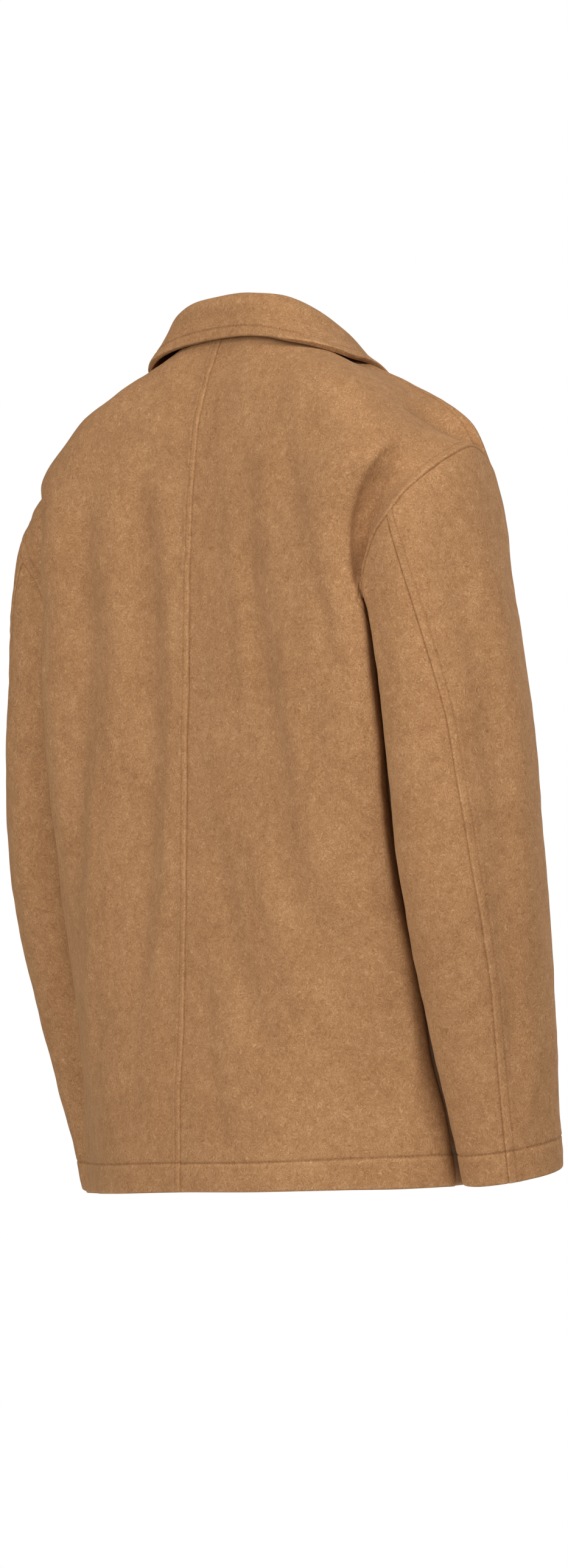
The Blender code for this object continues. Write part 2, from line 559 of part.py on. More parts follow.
def resting(points):
    """Every fourth column of the left half, lifted until all four clear the body."""
    back = body_panel(BACK, np.linspace(12.0, 19.0, 36), 1, False, (12, 9, 4, 4, 4, 4))
    front = body_panel(FRONT, np.linspace(6.0, 13.0, 36), 1, True, (12, 9, 4, 4, 4, 4))
    body = np.concatenate([back.reshape(-1, 3), front.reshape(-1, 3)])
    away = np.concatenate([normals_of(back, 1.0).reshape(-1, 3),
                           normals_of(front, -1.0).reshape(-1, 3)])
    gaps = np.linalg.norm(points[:, :, None, :] - body[None, None], axis=-1)
    nearest = gaps.argmin(axis=-1)
    normal = away[nearest]
    short = COLLAR_REST - np.sum((points - body[nearest]) * normal, axis=-1, keepdims=True)
    lift = (short + np.sqrt(short * short + 4.0 * REST_SOFT ** 2)) / 2.0
    most = [lift[:, max(0, k - REST_FINER // 2):k + REST_FINER // 2 + 1].max(axis=1)
            for k in range(0, points.shape[1], REST_FINER)]
    return points[:, ::REST_FINER] + normal[:, ::REST_FINER] * np.stack(most, axis=1)


def collar():
    """Upper and under collar: a stand round the neck and a fall folded over it."""
    places = steps_between(COLLAR[:, 0], [COLLAR_STEPS * REST_FINER] * (len(COLLAR) - 1))
    mirrored = np.vstack([COLLAR[1:3][::-1] * ([-1.0] + [-1.0, 1.0, 1.0] * 3), COLLAR])
    lines = spline(mirrored[:, 0], mirrored[:, 1:], places)
    seam, fold, edge = lines[:, 0:3], lines[:, 3:6], lines[:, 6:9]
    along = np.gradient(seam, axis=0)
    along[0] = (1.0, 0.0, 0.0)
    out = unit(np.column_stack([-along[:, 1], along[:, 0], np.zeros(len(along))]))
    up = np.array([0.0, 0.0, 1.0])
    fall = unit(edge - fold)
    high = fold[:, 2:3] - seam[:, 2:3]
    paths = np.stack([
        seam - out * STAND_IN + up * SEAM_GAP,
        seam * 0.65 + fold * 0.35 - out * (FOLD_HALF + STAND_IN) / 2.0,
        fold - out * FOLD_HALF - up * np.minimum(FOLD_HALF, high * 0.4),
        fold,
        fold + out * FOLD_HALF * 0.8 + fall * FOLD_HALF,
        (fold + edge) / 2.0 + out * 2.5,
        edge,
    ])
    half = []
    for path in paths.transpose(1, 0, 2):
        reach = np.concatenate([[0.0], np.cumsum(np.linalg.norm(np.diff(path, axis=0),
                                                                axis=1))])
        half.append(spline(reach, path, steps_between(reach, COLLAR_ROWS)))
    half = np.array(half).transpose(1, 0, 2)
    half = np.concatenate([half[:FALL_FROM, ::REST_FINER], resting(half[FALL_FROM:])])
    whole = np.concatenate([half[:, :0:-1] * (-1.0, 1.0, 1.0), half], axis=1)
    outward = normals_of(whole, -1.0)
    outward[0] = unit(outward[0] * (1.0, 1.0, 0.0))
    solid("upper_collar", whole, whole - outward * CLOTH, False)
    second = whole - outward * (CLOTH + SEAM_GAP)
    second[-1] += unit(second[-2] - second[-1]) * UNDER_INSET
    second[:, 0] += unit(second[:, 1] - second[:, 0]) * UNDER_INSET
    second[:, -1] += unit(second[:, -2] - second[:, -1]) * UNDER_INSET
    solid("under_collar", second, second - outward * CLOTH, False)


def buttons(front):
    """Flat round buttons down the centre front, on the left panel."""
    line = front[:, FRONT_EXTRA]
    order = np.argsort(line[:, 2])
    for index, z in enumerate(BUTTON_Z):
        y = np.interp(z, line[order, 2], line[order, 1])
        above = np.interp(z + 10.0, line[order, 2], line[order, 1])
        up = unit(np.array([0.0, above - y, 10.0]))
        side = np.array([1.0, 0.0, 0.0])
        out = np.cross(side, up)
        centre = np.array([0.0, y, z]) + out * BUTTON_LIFT
        profile = ((BUTTON_RADIUS - BUTTON_RIM, 0.0), (BUTTON_RADIUS, BUTTON_RIM),
                   (BUTTON_RADIUS, BUTTON_THICK - BUTTON_RIM),
                   (BUTTON_RADIUS - BUTTON_RIM, BUTTON_THICK))
        points = []
        for radius, height in profile:
            for step in range(BUTTON_SIDES):
                angle = 2.0 * math.pi * step / BUTTON_SIDES
                points.append(centre + radius * (side * math.cos(angle)
                                                 + up * math.sin(angle)) + out * height)
        faces = []
        for ring_at in range(len(profile) - 1):
            for step in range(BUTTON_SIDES):
                a = ring_at * BUTTON_SIDES + step
                b = ring_at * BUTTON_SIDES + (step + 1) % BUTTON_SIDES
                faces.append((a, b, b + BUTTON_SIDES, a + BUTTON_SIDES))
        for ring_at, centre_height in ((0, 0.0), (len(profile) - 1, BUTTON_THICK)):
            points.append(centre + out * centre_height)
            for step in range(BUTTON_SIDES):
                a = ring_at * BUTTON_SIDES + step
                b = ring_at * BUTTON_SIDES + (step + 1) % BUTTON_SIDES
                pair = (b, a) if ring_at == 0 else (a, b)
                faces.append(pair + (len(points) - 1,))
        add_object("button_%d" % (index + 1), points, faces, HORN, HORN_ROUGHNESS)


def main():
    for item in list(bpy.data.objects):
        bpy.data.objects.remove(item, do_unlink=True)
    left_front = garment_half(1)
    garment_half(-1)
    collar()
    buttons(left_front)


main()
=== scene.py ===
"""Wool jacket: cloth, stitching, buttons and studio, laid out as a Blender add-on.

The tables are in millimetres for the left (+X) half and are mirrored for the right one.
The front faces -Y and the origin is the middle of the neck opening.
"""

import math

import bpy
import numpy as np
from mathutils import Matrix, Vector
from mathutils.kdtree import KDTree


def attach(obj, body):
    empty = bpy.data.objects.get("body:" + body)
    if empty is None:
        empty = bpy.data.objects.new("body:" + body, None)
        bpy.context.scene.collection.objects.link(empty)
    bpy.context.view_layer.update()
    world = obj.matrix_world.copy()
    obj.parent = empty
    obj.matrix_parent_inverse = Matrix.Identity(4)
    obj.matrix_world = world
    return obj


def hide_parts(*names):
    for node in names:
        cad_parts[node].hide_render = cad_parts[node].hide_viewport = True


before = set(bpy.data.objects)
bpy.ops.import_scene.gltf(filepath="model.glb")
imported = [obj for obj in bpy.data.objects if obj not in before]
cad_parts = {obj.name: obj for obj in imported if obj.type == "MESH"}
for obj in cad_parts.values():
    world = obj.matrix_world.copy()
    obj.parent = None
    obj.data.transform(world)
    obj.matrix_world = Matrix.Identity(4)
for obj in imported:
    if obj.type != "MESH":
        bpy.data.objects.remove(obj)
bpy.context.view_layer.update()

bl_info = {
    "name": "Wool jacket",
    "version": (1, 0, 0),
    "blender": (4, 5, 0),
    "location": "3D View > Sidebar > Jacket",
    "description": "Builds a felted wool jacket with its seams, stitches and buttons",
    "category": "Add Mesh",
}

# ---------------------------------------------------------------- cut and drape of the jacket
SEAM_GAP = 0.04         # between neighbouring pieces, too narrow to let light through
HEM_SPAN = 100.0        # height from level 0 to level 1 of the body
SKIRT, TRUNK = 70.0, 300.0  # heights that rows fill: above the hem's marks, and to the underarm
ARM_LEVEL = 5.0         # level of the underarm on the body
BACK_TOP = 16.0         # level where the back's armhole ends at the shoulder seam
FRONT_TOP = 10.0        # the same on the front
BACK_ROWS = (99, 34)    # rows along the armhole and along the shoulder
FRONT_ROWS = (76, 40)
FAR = 99.0              # a distance at which no seam is felt
SHOULDER_TILT = 0.028   # the left shoulder hangs lower: drop per unit of width
OVERLAP = 22.0          # each front runs this far past the centre line
UNDERLAP_DROP = 5.4     # how far the right front lies under the left one
UNDERLAP_BLEND = 30.0   # width over which it drops
TUCK_PLACE = 0.5        # where the cloth tucks in, as a share of its run behind the fold
BACK_TUCK = 0.12        # how far it tucks in there, per unit of that run
FOLD_ENDS = 60.0        # length over which a fold fades out at each end
FOLD_START = 78.0       # direction from the fold's centre where the cloth starts to turn
UNDERARM_TURN = -88.0   # direction of the underarm from the sleeve's middle, 0 being behind
SWELL = ((62.0, 1.0, 3), (21.0, 0.35, 5))   # unevenness: wave length, share and seed
PUCKER = (9.0, 0.17, 11)                    # along tight stitches: wave length, height, seed

ARMHOLE = np.array([
    # x,    y,     z   (underarm, back, top, front)
    (174.0, 18.0, -292.0),
    (183.5, 51.0, -277.0),
    (187.5, 79.5, -243.0),
    (191.5, 81.0, -219.0),
    (206.0, 82.0, -194.0),
    (219.0, 80.5, -181.0),
    (231.5, 70.0, -163.0),
    (241.0, 48.0, -145.5),
    (244.5, 28.0, -135.0),
    (243.0, 9.0, -129.5),
    (238.0, -9.0, -135.0),
    (229.0, -26.0, -147.0),
    (217.0, -38.0, -170.0),
    (204.0, -43.0, -200.0),
    (192.0, -38.0, -233.0),
    (182.0, -20.0, -266.0),
])
ARM_BACK_SEAM, ARM_TOP_SEAM, ARM_LOOP = 5, 10, 16   # stations: two sleeve seams, all round

SIDE_SEAM = np.array([
    # level, x,   y,    z
    (0.0, 187.0, -6.0, -701.0),
    (1.0, 177.0, -3.0, -600.0),
    (2.0, 173.0, 5.0, -470.0),
    (3.0, 169.0, 11.0, -400.0),
    (4.0, 166.5, 15.0, -350.0),
    (4.7, 168.5, 17.5, -306.0),
    (5.0, 174.0, 18.0, -292.0),
])
SHOULDER_SEAM = np.array([
    # share, x,   y,     z
    (0.0, 229.0, -26.0, -147.0),
    (0.5, 212.0, -25.5, -113.0),
    (1.0, 190.0, -24.5, -94.5),
    (2.0, 132.0, -18.0, -65.5),
    (3.0, 76.0, -12.0, -38.0),
])
BACK = np.array([
    # level, centre y, z,  blade x, y, z,       fold x, y, z,          radius, turn
    (0.0, 128.5, -696.0, 88.0, 122.0, -697.0, 176.0, 48.0, -700.0, 22.0, 80.0),
    (1.0, 122.0, -600.0, 94.0, 116.0, -600.0, 184.0, 50.0, -600.0, 15.0, 105.0),
    (1.5, 115.0, -540.0, 97.0, 111.0, -540.0, 187.0, 56.0, -540.0, 12.0, 120.0),
    (2.0, 109.5, -470.0, 100.0, 106.0, -470.0, 188.0, 67.0, -470.0, 9.0, 130.0),
    (3.0, 104.5, -400.0, 100.0, 102.5, -400.0, 188.5, 75.0, -400.0, 8.0, 135.0),
    (4.0, 101.0, -350.0, 99.0, 100.5, -350.0, 190.0, 79.0, -350.0, 7.5, 135.0),
    (5.0, 97.0, -300.0, 98.0, 98.0, -298.0, 188.0, 82.5, -294.0, 7.0, 130.0),
    (6.0, 95.3, -275.0, 97.0, 96.3, -273.0, 187.0, 83.0, -268.0, 6.5, 130.0),
    (7.0, 93.8, -250.0, 96.5, 94.8, -248.0, 185.5, 83.5, -244.0, 6.0, 125.0),
    (8.0, 92.3, -228.0, 96.0, 93.5, -226.0, 181.0, 82.5, -222.0, 7.0, 85.0),
    (9.0, 90.5, -205.0, 96.0, 92.5, -203.0, 179.5, 76.0, -199.0, 15.0, 45.0),
    (10.0, 88.5, -185.0, 96.0, 91.5, -182.0, 189.0, 69.0, -176.0, 20.0, 40.0),
    (11.0, 86.5, -165.0, 96.0, 90.0, -162.0, 195.5, 62.0, -154.0, 24.0, 50.0),
    (12.0, 84.5, -145.0, 96.0, 88.3, -142.0, 193.5, 55.0, -134.0, 28.0, 60.0),
    (13.0, 81.5, -125.0, 96.0, 86.0, -122.0, 183.0, 49.0, -118.0, 30.0, 60.0),
    (14.0, 78.5, -106.0, 94.0, 82.5, -103.0, 172.0, 45.0, -103.0, 30.0, 60.0),
    (15.0, 75.0, -88.0, 90.0, 78.0, -85.0, 158.0, 40.5, -88.0, 30.0, 60.0),
    (16.0, 69.5, -72.0, 84.0, 71.5, -68.0, 143.0, 34.0, -73.0, 30.0, 60.0),
    (17.0, 61.5, -52.0, 73.0, 62.5, -50.0, 121.0, 29.0, -58.5, 28.0, 60.0),
    (18.0, 52.5, -33.0, 57.0, 53.0, -33.0, 96.0, 21.0, -45.5, 24.0, 60.0),
    (19.0, 43.0, -14.0, 35.0, 40.5, -15.5, 52.5, 11.5, -22.0, 18.0, 40.0),
])
# Both halves hang in a rolled fold over the armhole; the right one turns wider at its hem.
BACK_ROLL = {
    1: (  # left half
        # level, fold x, y, z,   radius, turn, tuck: place, depth
        (9.0, 181.5, 82.0, -199.0, 9.0, 110.0, 0.5, 0.10),
        (10.0, 181.0, 82.0, -176.0, 8.0, 125.0, 0.5, 0.10),
        (11.0, 182.5, 78.0, -154.0, 8.5, 122.0, 0.5, -0.05),
        (12.0, 185.5, 70.0, -134.0, 12.0, 99.0, 0.5, -0.16),
        (13.0, 184.0, 54.5, -118.0, 23.0, 68.0, 0.5, -0.10),
    ),
    -1: (  # right half
        (0.0, 143.0, 22.0, -700.0, 60.0, 80.0, 0.5, 0.12),
        (0.5, 161.0, 33.0, -650.0, 40.0, 88.0, 0.5, 0.12),
        (1.0, 184.0, 46.0, -600.0, 15.5, 105.0, 0.5, 0.12),
        (1.5, 187.0, 54.5, -540.0, 12.5, 120.0, 0.5, 0.12),
        (7.0, 183.5, 84.0, -244.0, 6.0, 130.0, 0.4, 0.16),
        (8.0, 176.5, 84.5, -222.0, 6.5, 134.0, 0.15, 0.50),
        (9.0, 177.0, 86.0, -199.0, 6.5, 136.0, 0.08, 0.34),
        (10.0, 180.5, 85.5, -176.0, 7.0, 134.0, 0.08, 0.26),
        (11.0, 190.0, 83.0, -154.0, 6.5, 128.0, 0.10, 0.20),
        (12.0, 202.5, 75.0, -134.0, 7.5, 105.0, 0.20, 0.10),
    ),
}
FRONT = np.array([
    # level, centre y, z,   chest x, y, z,          fold x, y, z,          radius, turn
    (0.0, -130.0, -704.0, 84.0, -121.0, -702.0, 136.0, -64.0, -699.0, 42.0, 60.0),
    (1.0, -133.0, -600.0, 84.0, -123.0, -600.0, 134.0, -60.0, -600.0, 42.0, 65.0),
    (2.0, -134.0, -470.0, 84.0, -124.0, -470.0, 131.0, -54.0, -470.0, 42.0, 72.0),
    (3.0, -135.0, -400.0, 84.0, -125.0, -400.0, 129.0, -51.0, -400.0, 41.0, 76.0),
    (4.0, -136.0, -350.0, 84.0, -126.0, -350.0, 129.0, -50.0, -350.0, 40.0, 78.0),
    (5.0, -137.0, -296.0, 85.0, -127.0, -298.0, 132.0, -50.0, -298.0, 38.0, 72.0),
    (6.0, -136.0, -262.0, 86.0, -126.0, -266.0, 142.0, -54.0, -268.0, 33.0, 62.0),
    (7.0, -134.0, -228.0, 86.0, -122.5, -234.0, 153.0, -60.0, -238.0, 26.0, 50.0),
    (8.0, -130.5, -196.0, 86.0, -116.5, -202.0, 162.0, -58.0, -204.0, 24.0, 42.0),
    (9.0, -125.0, -166.0, 85.0, -108.5, -171.0, 168.0, -47.0, -168.0, 26.0, 38.0),
    (10.0, -117.5, -138.0, 83.0, -98.0, -140.0, 166.0, -32.0, -131.0, 28.0, 34.0),
    (11.0, -112.0, -122.0, 74.0, -91.0, -117.0, 146.0, -28.0, -106.0, 26.0, 32.0),
    (12.0, -107.0, -111.0, 58.0, -84.0, -100.0, 108.0, -26.0, -83.0, 24.0, 32.0),
    (13.0, -102.0, -103.0, 38.0, -84.0, -91.0, 54.0, -38.0, -66.0, 18.0, 40.0),
])
# Soft folds pressed into (-) or raised on (+) a panel, each along a bent line.
BACK_FOLDS = {
    1: (  # left half
        # x, z at top,  middle,          bottom,          half width, height
        (128.0, -120.0, 130.0, -300.0, 146.0, -470.0, 15.0, -5.5),
        (112.0, -330.0, 120.0, -440.0, 136.0, -640.0, 15.0, 6.0),
        (100.0, -100.0, 88.0, -275.0, 108.0, -560.0, 19.0, 4.3),
        (65.0, -110.0, 48.0, -252.0, 56.0, -560.0, 16.0, -4.5),
        (44.0, -110.0, 22.0, -230.0, 24.0, -500.0, 14.0, 2.6),
    ),
    -1: (  # right half
        (40.0, -100.0, 54.0, -192.0, 78.0, -337.0, 13.0, 2.7),
        (60.0, -150.0, 80.0, -272.0, 122.0, -400.0, 15.0, -4.5),
        (86.0, -90.0, 113.0, -262.0, 150.0, -500.0, 17.0, 4.2),
        (112.0, -95.0, 151.0, -227.0, 178.0, -340.0, 15.0, -2.6),
        (24.0, -390.0, 59.0, -508.0, 105.0, -620.0, 16.0, -4.5),
        (70.0, -400.0, 106.0, -495.0, 142.0, -590.0, 15.0, 3.5),
        (15.0, -500.0, 39.0, -621.0, 58.0, -690.0, 13.0, -2.6),
    ),
}
BACK_CREASES = {
    1: (
        (108.0, -520.0, 104.0, -590.0, 98.0, -690.0, 13.0, 1.4),
        (60.0, -470.0, 64.0, -560.0, 58.0, -680.0, 16.0, -1.2),
        (158.0, -250.0, 152.0, -330.0, 150.0, -420.0, 10.0, -1.6),
        (20.0, -430.0, 34.0, -520.0, 40.0, -600.0, 14.0, 0.9),
    ),
    -1: (
        (52.0, -170.0, 66.0, -250.0, 84.0, -330.0, 9.0, 1.2),
        (150.0, -200.0, 158.0, -240.0, 172.0, -300.0, 9.0, -1.6),
        (118.0, -590.0, 110.0, -640.0, 96.0, -690.0, 14.0, 1.5),
        (70.0, -560.0, 66.0, -620.0, 58.0, -700.0, 13.0, -1.5),
        (28.0, -260.0, 34.0, -340.0, 50.0, -420.0, 15.0, 0.9),
        (146.0, -470.0, 150.0, -540.0, 148.0, -640.0, 12.0, -1.6),
    ),
}
FRONT_CREASES = {
    1: (
        (120.0, -190.0, 108.0, -290.0, 96.0, -400.0, 14.0, -3.0),
        (92.0, -150.0, 84.0, -260.0, 70.0, -380.0, 13.0, 2.0),
        (66.0, -420.0, 88.0, -500.0, 126.0, -590.0, 14.0, -2.4),
        (110.0, -540.0, 104.0, -600.0, 92.0, -690.0, 15.0, 2.2),
        (40.0, -560.0, 46.0, -620.0, 44.0, -690.0, 12.0, -1.6),
    ),
    -1: (
        (126.0, -200.0, 112.0, -310.0, 104.0, -430.0, 14.0, -3.2),
        (96.0, -170.0, 92.0, -260.0, 80.0, -350.0, 13.0, 1.8),
        (60.0, -470.0, 84.0, -540.0, 112.0, -620.0, 15.0, -2.2),
        (100.0, -440.0, 118.0, -520.0, 132.0, -600.0, 14.0, 2.0),
    ),
}
SLEEVE = np.array([
    # z,      x,     y,    half x, half y, back seam, top seam
    (-345.0, 229.0, 22.5, 50.5, 64.0, 44.0, 150.0),
    (-400.0, 232.5, 22.0, 51.0, 64.0, 48.0, 152.0),
    (-443.0, 233.5, 19.5, 50.5, 62.5, 51.0, 153.0),
    (-490.0, 232.5, 14.0, 49.3, 60.0, 54.0, 153.0),
    (-540.0, 230.5, 6.0, 46.5, 56.5, 55.0, 152.0),
    (-590.0, 229.0, -1.5, 44.0, 52.5, 52.0, 151.0),
    (-640.0, 228.5, -8.5, 40.0, 46.5, 48.0, 150.0),
    (-696.0, 228.5, -16.0, 36.5, 42.0, 45.0, 150.0),
])
SLEEVE_LEAVE = np.array([
    # armhole station, direction in which the sleeve leaves it (x, y, z), reach
    (0.0, 0.58, 0.00, -0.82, 30.0),
    (1.0, 0.66, -0.05, -0.75, 38.0),
    (2.0, 0.76, 0.06, -0.64, 50.0),
    (3.0, 0.62, 0.22, -0.75, 56.0),
    (4.0, 0.52, 0.22, -0.82, 66.0),
    (5.0, 0.40, 0.20, -0.90, 78.0),
    (6.0, 0.44, 0.17, -0.88, 92.0),
    (7.0, 0.46, 0.10, -0.88, 102.0),
    (8.0, 0.46, 0.03, -0.89, 108.0),
    (9.0, 0.42, -0.04, -0.91, 108.0),
    (10.0, 0.36, -0.10, -0.93, 106.0),
    (11.0, 0.34, -0.17, -0.92, 100.0),
    (12.0, 0.40, -0.32, -0.86, 88.0),
    (13.0, 0.45, -0.45, -0.77, 70.0),
    (14.0, 0.48, -0.50, -0.72, 52.0),
    (15.0, 0.50, -0.35, -0.79, 38.0),
    (16.0, 0.58, 0.00, -0.82, 30.0),
])
SLEEVE_FOLDS = {
    1: (
        # angle, z at top, angle, z at bottom, half width in degrees, height
        (84.0, -200.0, 70.0, -640.0, 16.0, -3.0),
        (-62.0, -292.0, -60.0, -720.0, 20.0, -4.0),
        (255.0, -420.0, 235.0, -380.0, 22.0, -3.0),
        (20.0, -330.0, 26.0, -560.0, 14.0, -2.0),
    ),
    -1: (
        (84.0, -180.0, 68.0, -650.0, 15.0, -4.6),
        (-62.0, -292.0, -60.0, -720.0, 20.0, -4.0),
        (112.0, -200.0, 98.0, -540.0, 14.0, 2.6),
        (22.0, -300.0, 20.0, -480.0, 14.0, -2.0),
    ),
}
SLEEVE_CREASES = {
    1: (
        # angle, z of one end,  of the other,  half width in mm, height
        (-40.0, -395.0, 20.0, -352.0, 7.0, 1.5),
        (-34.0, -352.0, 14.0, -336.0, 6.0, -1.4),
        (240.0, -430.0, 200.0, -400.0, 8.0, -2.2),
        (232.0, -470.0, 176.0, -446.0, 8.0, 1.6),
        (226.0, -520.0, 186.0, -498.0, 9.0, -1.6),
    ),
    -1: (
        (-10.0, -270.0, 8.0, -312.0, 5.0, -1.5),
        (236.0, -410.0, 190.0, -384.0, 8.0, -2.0),
        (238.0, -452.0, 180.0, -428.0, 8.0, 1.6),
        (226.0, -500.0, 188.0, -482.0, 9.0, -1.6),
        (16.0, -452.0, 74.0, -420.0, 9.0, -1.0),
        (20.0, -500.0, 70.0, -476.0, 9.0, 0.8),
    ),
}
COLLAR = np.array([
    # place, seam x, y, z,       fold x, y, z,         edge x, y, z
    (0.0, 0.0, 43.0, -14.0, 0.0, 45.5, 12.5, 0.0, 54.0, -22.0),
    (1.0, 35.0, 40.5, -15.5, 34.5, 42.5, 11.5, 42.5, 54.0, -24.0),
    (2.0, 59.5, 29.0, -20.5, 59.0, 28.0, 6.5, 83.0, 51.0, -31.0),
    (3.0, 72.5, 8.0, -29.5, 74.0, 6.5, -8.5, 113.0, 20.5, -45.0),
    (4.0, 76.0, -12.0, -38.0, 76.0, -14.5, -25.0, 108.0, -18.0, -54.0),
    (5.0, 70.5, -42.0, -57.0, 69.0, -44.0, -44.0, 100.5, -51.0, -84.0),
    (6.0, 52.0, -72.0, -78.0, 53.0, -76.0, -63.0, 97.0, -80.0, -114.0),
    (7.0, 27.0, -93.0, -96.0, 27.0, -98.5, -80.0, 84.0, -102.0, -140.0),
    (8.0, 6.0, -101.5, -102.5, 6.0, -108.0, -86.0, 66.0, -113.0, -160.0),
])
FOLD_HALF = 6.5         # half the width of the rolled fold, over all the layers
STAND_IN = 2.2          # the stand starts this far inside the neck seam
UNDER_INSET = 0.2       # the under collar stops this much short of the upper one
COLLAR_REST = 5.4       # height of the collar's top side over the cloth it lies on
REST_SOFT = 0.5         # how softly it lands there
COLLAR_STEP = 0.09      # places from one column of the collar to the next
COLLAR_SPAN = 25.0      # millimetres to one place at its front ends
STAND_ROWS, FOLD_ROWS, FALL_ROWS = 9, 25, 16
COLLAR_SWELL = (48.0, 0.8, 17)              # unevenness: wave length, share and seed
COLLAR_PUCKER = 0.16
BUTTON_Z = (-128.0, -238.0, -348.0, -458.0, -568.0)
BUTTON_LIFT = 0.85      # from the front's table to the back of a button

# ---------------------------------------------------------------- studio, in metres and degrees
LIGHTS = (
    # name, turn, rise; turn 0 is in front, 90 at the jacket's left
    ("key", 263.0, 40.0),
    ("side", 173.0, 40.0),
    ("low", 203.0, 10.0),
    ("front", 358.0, 15.0),
)
LIGHT_SIZE, LIGHT_DISTANCE, LIGHT_AIM = 1.6, 3.3, -0.36
FLOOR_RADIUS = 2.9
CAMERA_TURN, CAMERA_ROLL = 228.0, 2.4       # behind the jacket's right shoulder
CAMERA_DISTANCE, CAMERA_HEIGHT = 5.0, -0.378
LENS, SENSOR = 143.25, 36.0                 # in millimetres


# ================================================================ colours and settings
def linear(code):
    """An sRGB hex colour as linear red, green and blue."""
    values = [int(code[k:k + 2], 16) / 255.0 for k in (0, 2, 4)]
    return tuple(v / 12.92 if v <= 0.04045 else ((v + 0.055) / 1.055) ** 2.4 for v in values)


def size_of(name, text, default):
    """A size in millimetres that a user may change."""
    return bpy.props.FloatProperty(name=name, description=text, default=default, min=0.0)


def colour_of(name, text, code):
    """A colour that a user may change."""
    return bpy.props.FloatVectorProperty(name=name, description=text, subtype="COLOR", size=3,
                                         min=0.0, max=1.0, default=linear(code))


class JACKET_PG_cloth(bpy.types.PropertyGroup):
    """Sizes of the cloth, its hems and the relief of its seams, in millimetres."""
    thickness: size_of("Cloth", "Thickness of one layer, mm", 2.2)
    hem: size_of("Hem", "Depth of the turned-up hem, mm", 25.0)
    hem_layers: size_of("Hem layers", "Cloth and its turning together, mm", 4.4)
    mesh: size_of("Mesh", "Spacing of the points on open cloth, mm", 3.4)
    ridge: size_of("Ridge", "Height of a stitched seam over the cloth, mm", 0.75)
    roll: size_of("Roll", "How far an edge rolls down at a seam, mm", 1.1)
    dimple: size_of("Dimple", "How deep a line of stitches pulls in, mm", 0.5)
    waviness: size_of("Waviness", "Unevenness of the open cloth, mm", 0.32)


class JACKET_PG_sewing(bpy.types.PropertyGroup):
    """Places of the topstitching and size of its stitches, in millimetres."""
    centre: size_of("Centre back", "Topstitch from the centre back seam, mm", 6.0)
    seam: size_of("Seams", "Topstitch from the armhole and sleeve seams, mm", 7.0)
    collar: size_of("Collar", "Topstitch from the edge of the collar, mm", 8.5)
    pitch: size_of("Pitch", "From one stitch to the next, mm", 3.0)
    length: size_of("Stitch", "Length of one stitch, mm", 2.0)
    thread: size_of("Thread", "Width of the thread, mm", 0.5)
    sunk: size_of("Sunk", "How far a stitch lies in the cloth, mm", 0.08)


class JACKET_PG_colours(bpy.types.PropertyGroup):
    """Colours of the cloth, thread and buttons."""
    wool: colour_of("Wool", "Mean colour of the wool", "9A704A")
    # dark fibres, and the painted shade of hollows, seam lines and stitch grooves
    wool_dark: colour_of("Wool, dark", "Darker fibres and hollows", "6E4A2C")
    wool_light: colour_of("Wool, light", "Lighter fibres and raised edges", "C29A70")
    thread: colour_of("Thread", "Sewing thread", "A87D50")
    horn: colour_of("Button", "Main colour of the buttons", "3A2819")
    horn_light: colour_of("Button, streaks", "Lighter streaks of the buttons", "6E4C2C")


class JACKET_PG_studio(bpy.types.PropertyGroup):
    """The studio around the jacket."""
    world: bpy.props.FloatProperty(name="World", description="Light from the pale surround",
                                   default=0.18, min=0.0)
    key: bpy.props.FloatProperty(name="Key", description="Power of the main light, W",
                                 default=73.0, min=0.0)
    side: bpy.props.FloatProperty(name="Side", description="Power of the high side light, W",
                                  default=40.0, min=0.0)
    low: bpy.props.FloatProperty(name="Low", description="Power of the low light, W",
                                 default=51.0, min=0.0)
    front: bpy.props.FloatProperty(name="Front", description="Power of the front light, W",
                                   default=40.0, min=0.0)
    floor: bpy.props.FloatProperty(name="Floor", description="Height of the floor",
                                   default=-1.45, unit="LENGTH")


# ================================================================ curves
def spline(knots, values, at):
    """Smooth curve through the values at the knots, read at the places in at."""
    knots = np.asarray(knots, float)
    values = np.asarray(values, float)
    at = np.atleast_1d(np.asarray(at, float))
    step = np.diff(knots)
    shape = (-1,) + (1,) * (values.ndim - 1)
    slope = np.diff(values, axis=0) / step.reshape(shape)
    tangent = np.empty_like(values)
    tangent[0], tangent[-1] = slope[0], slope[-1]
    before, after = step[:-1].reshape(shape), step[1:].reshape(shape)
    tangent[1:-1] = (slope[:-1] * after + slope[1:] * before) / (before + after)
    span = np.clip(np.searchsorted(knots, at, side="right") - 1, 0, len(step) - 1)
    width = step[span].reshape(shape)
    t = ((at - knots[span]) / step[span]).reshape(shape)
    return ((2 * t**3 - 3 * t**2 + 1) * values[span]
            + (t**3 - 2 * t**2 + t) * width * tangent[span]
            + (3 * t**2 - 2 * t**3) * values[span + 1]
            + (t**3 - t**2) * width * tangent[span + 1])


def armhole(stations):
    """Points of the armhole loop at the given stations."""
    around = np.concatenate([ARMHOLE[-3:], ARMHOLE, ARMHOLE[:4]])
    return spline(np.arange(-3, ARM_LOOP + 4), around, np.mod(stations, ARM_LOOP))


def unit(vectors):
    """The same vectors at length one."""
    return vectors / np.maximum(np.linalg.norm(vectors, axis=-1, keepdims=True), 1e-12)


def smooth(share):
    """Soft step from 0 to 1."""
    share = np.clip(share, 0.0, 1.0)
    return share * share * (3.0 - 2.0 * share)


def lengths(points):
    """Running length along each row of points."""
    steps = np.linalg.norm(np.diff(points, axis=-2), axis=-1)
    return np.concatenate([np.zeros(steps.shape[:-1] + (1,)), np.cumsum(steps, axis=-1)], -1)


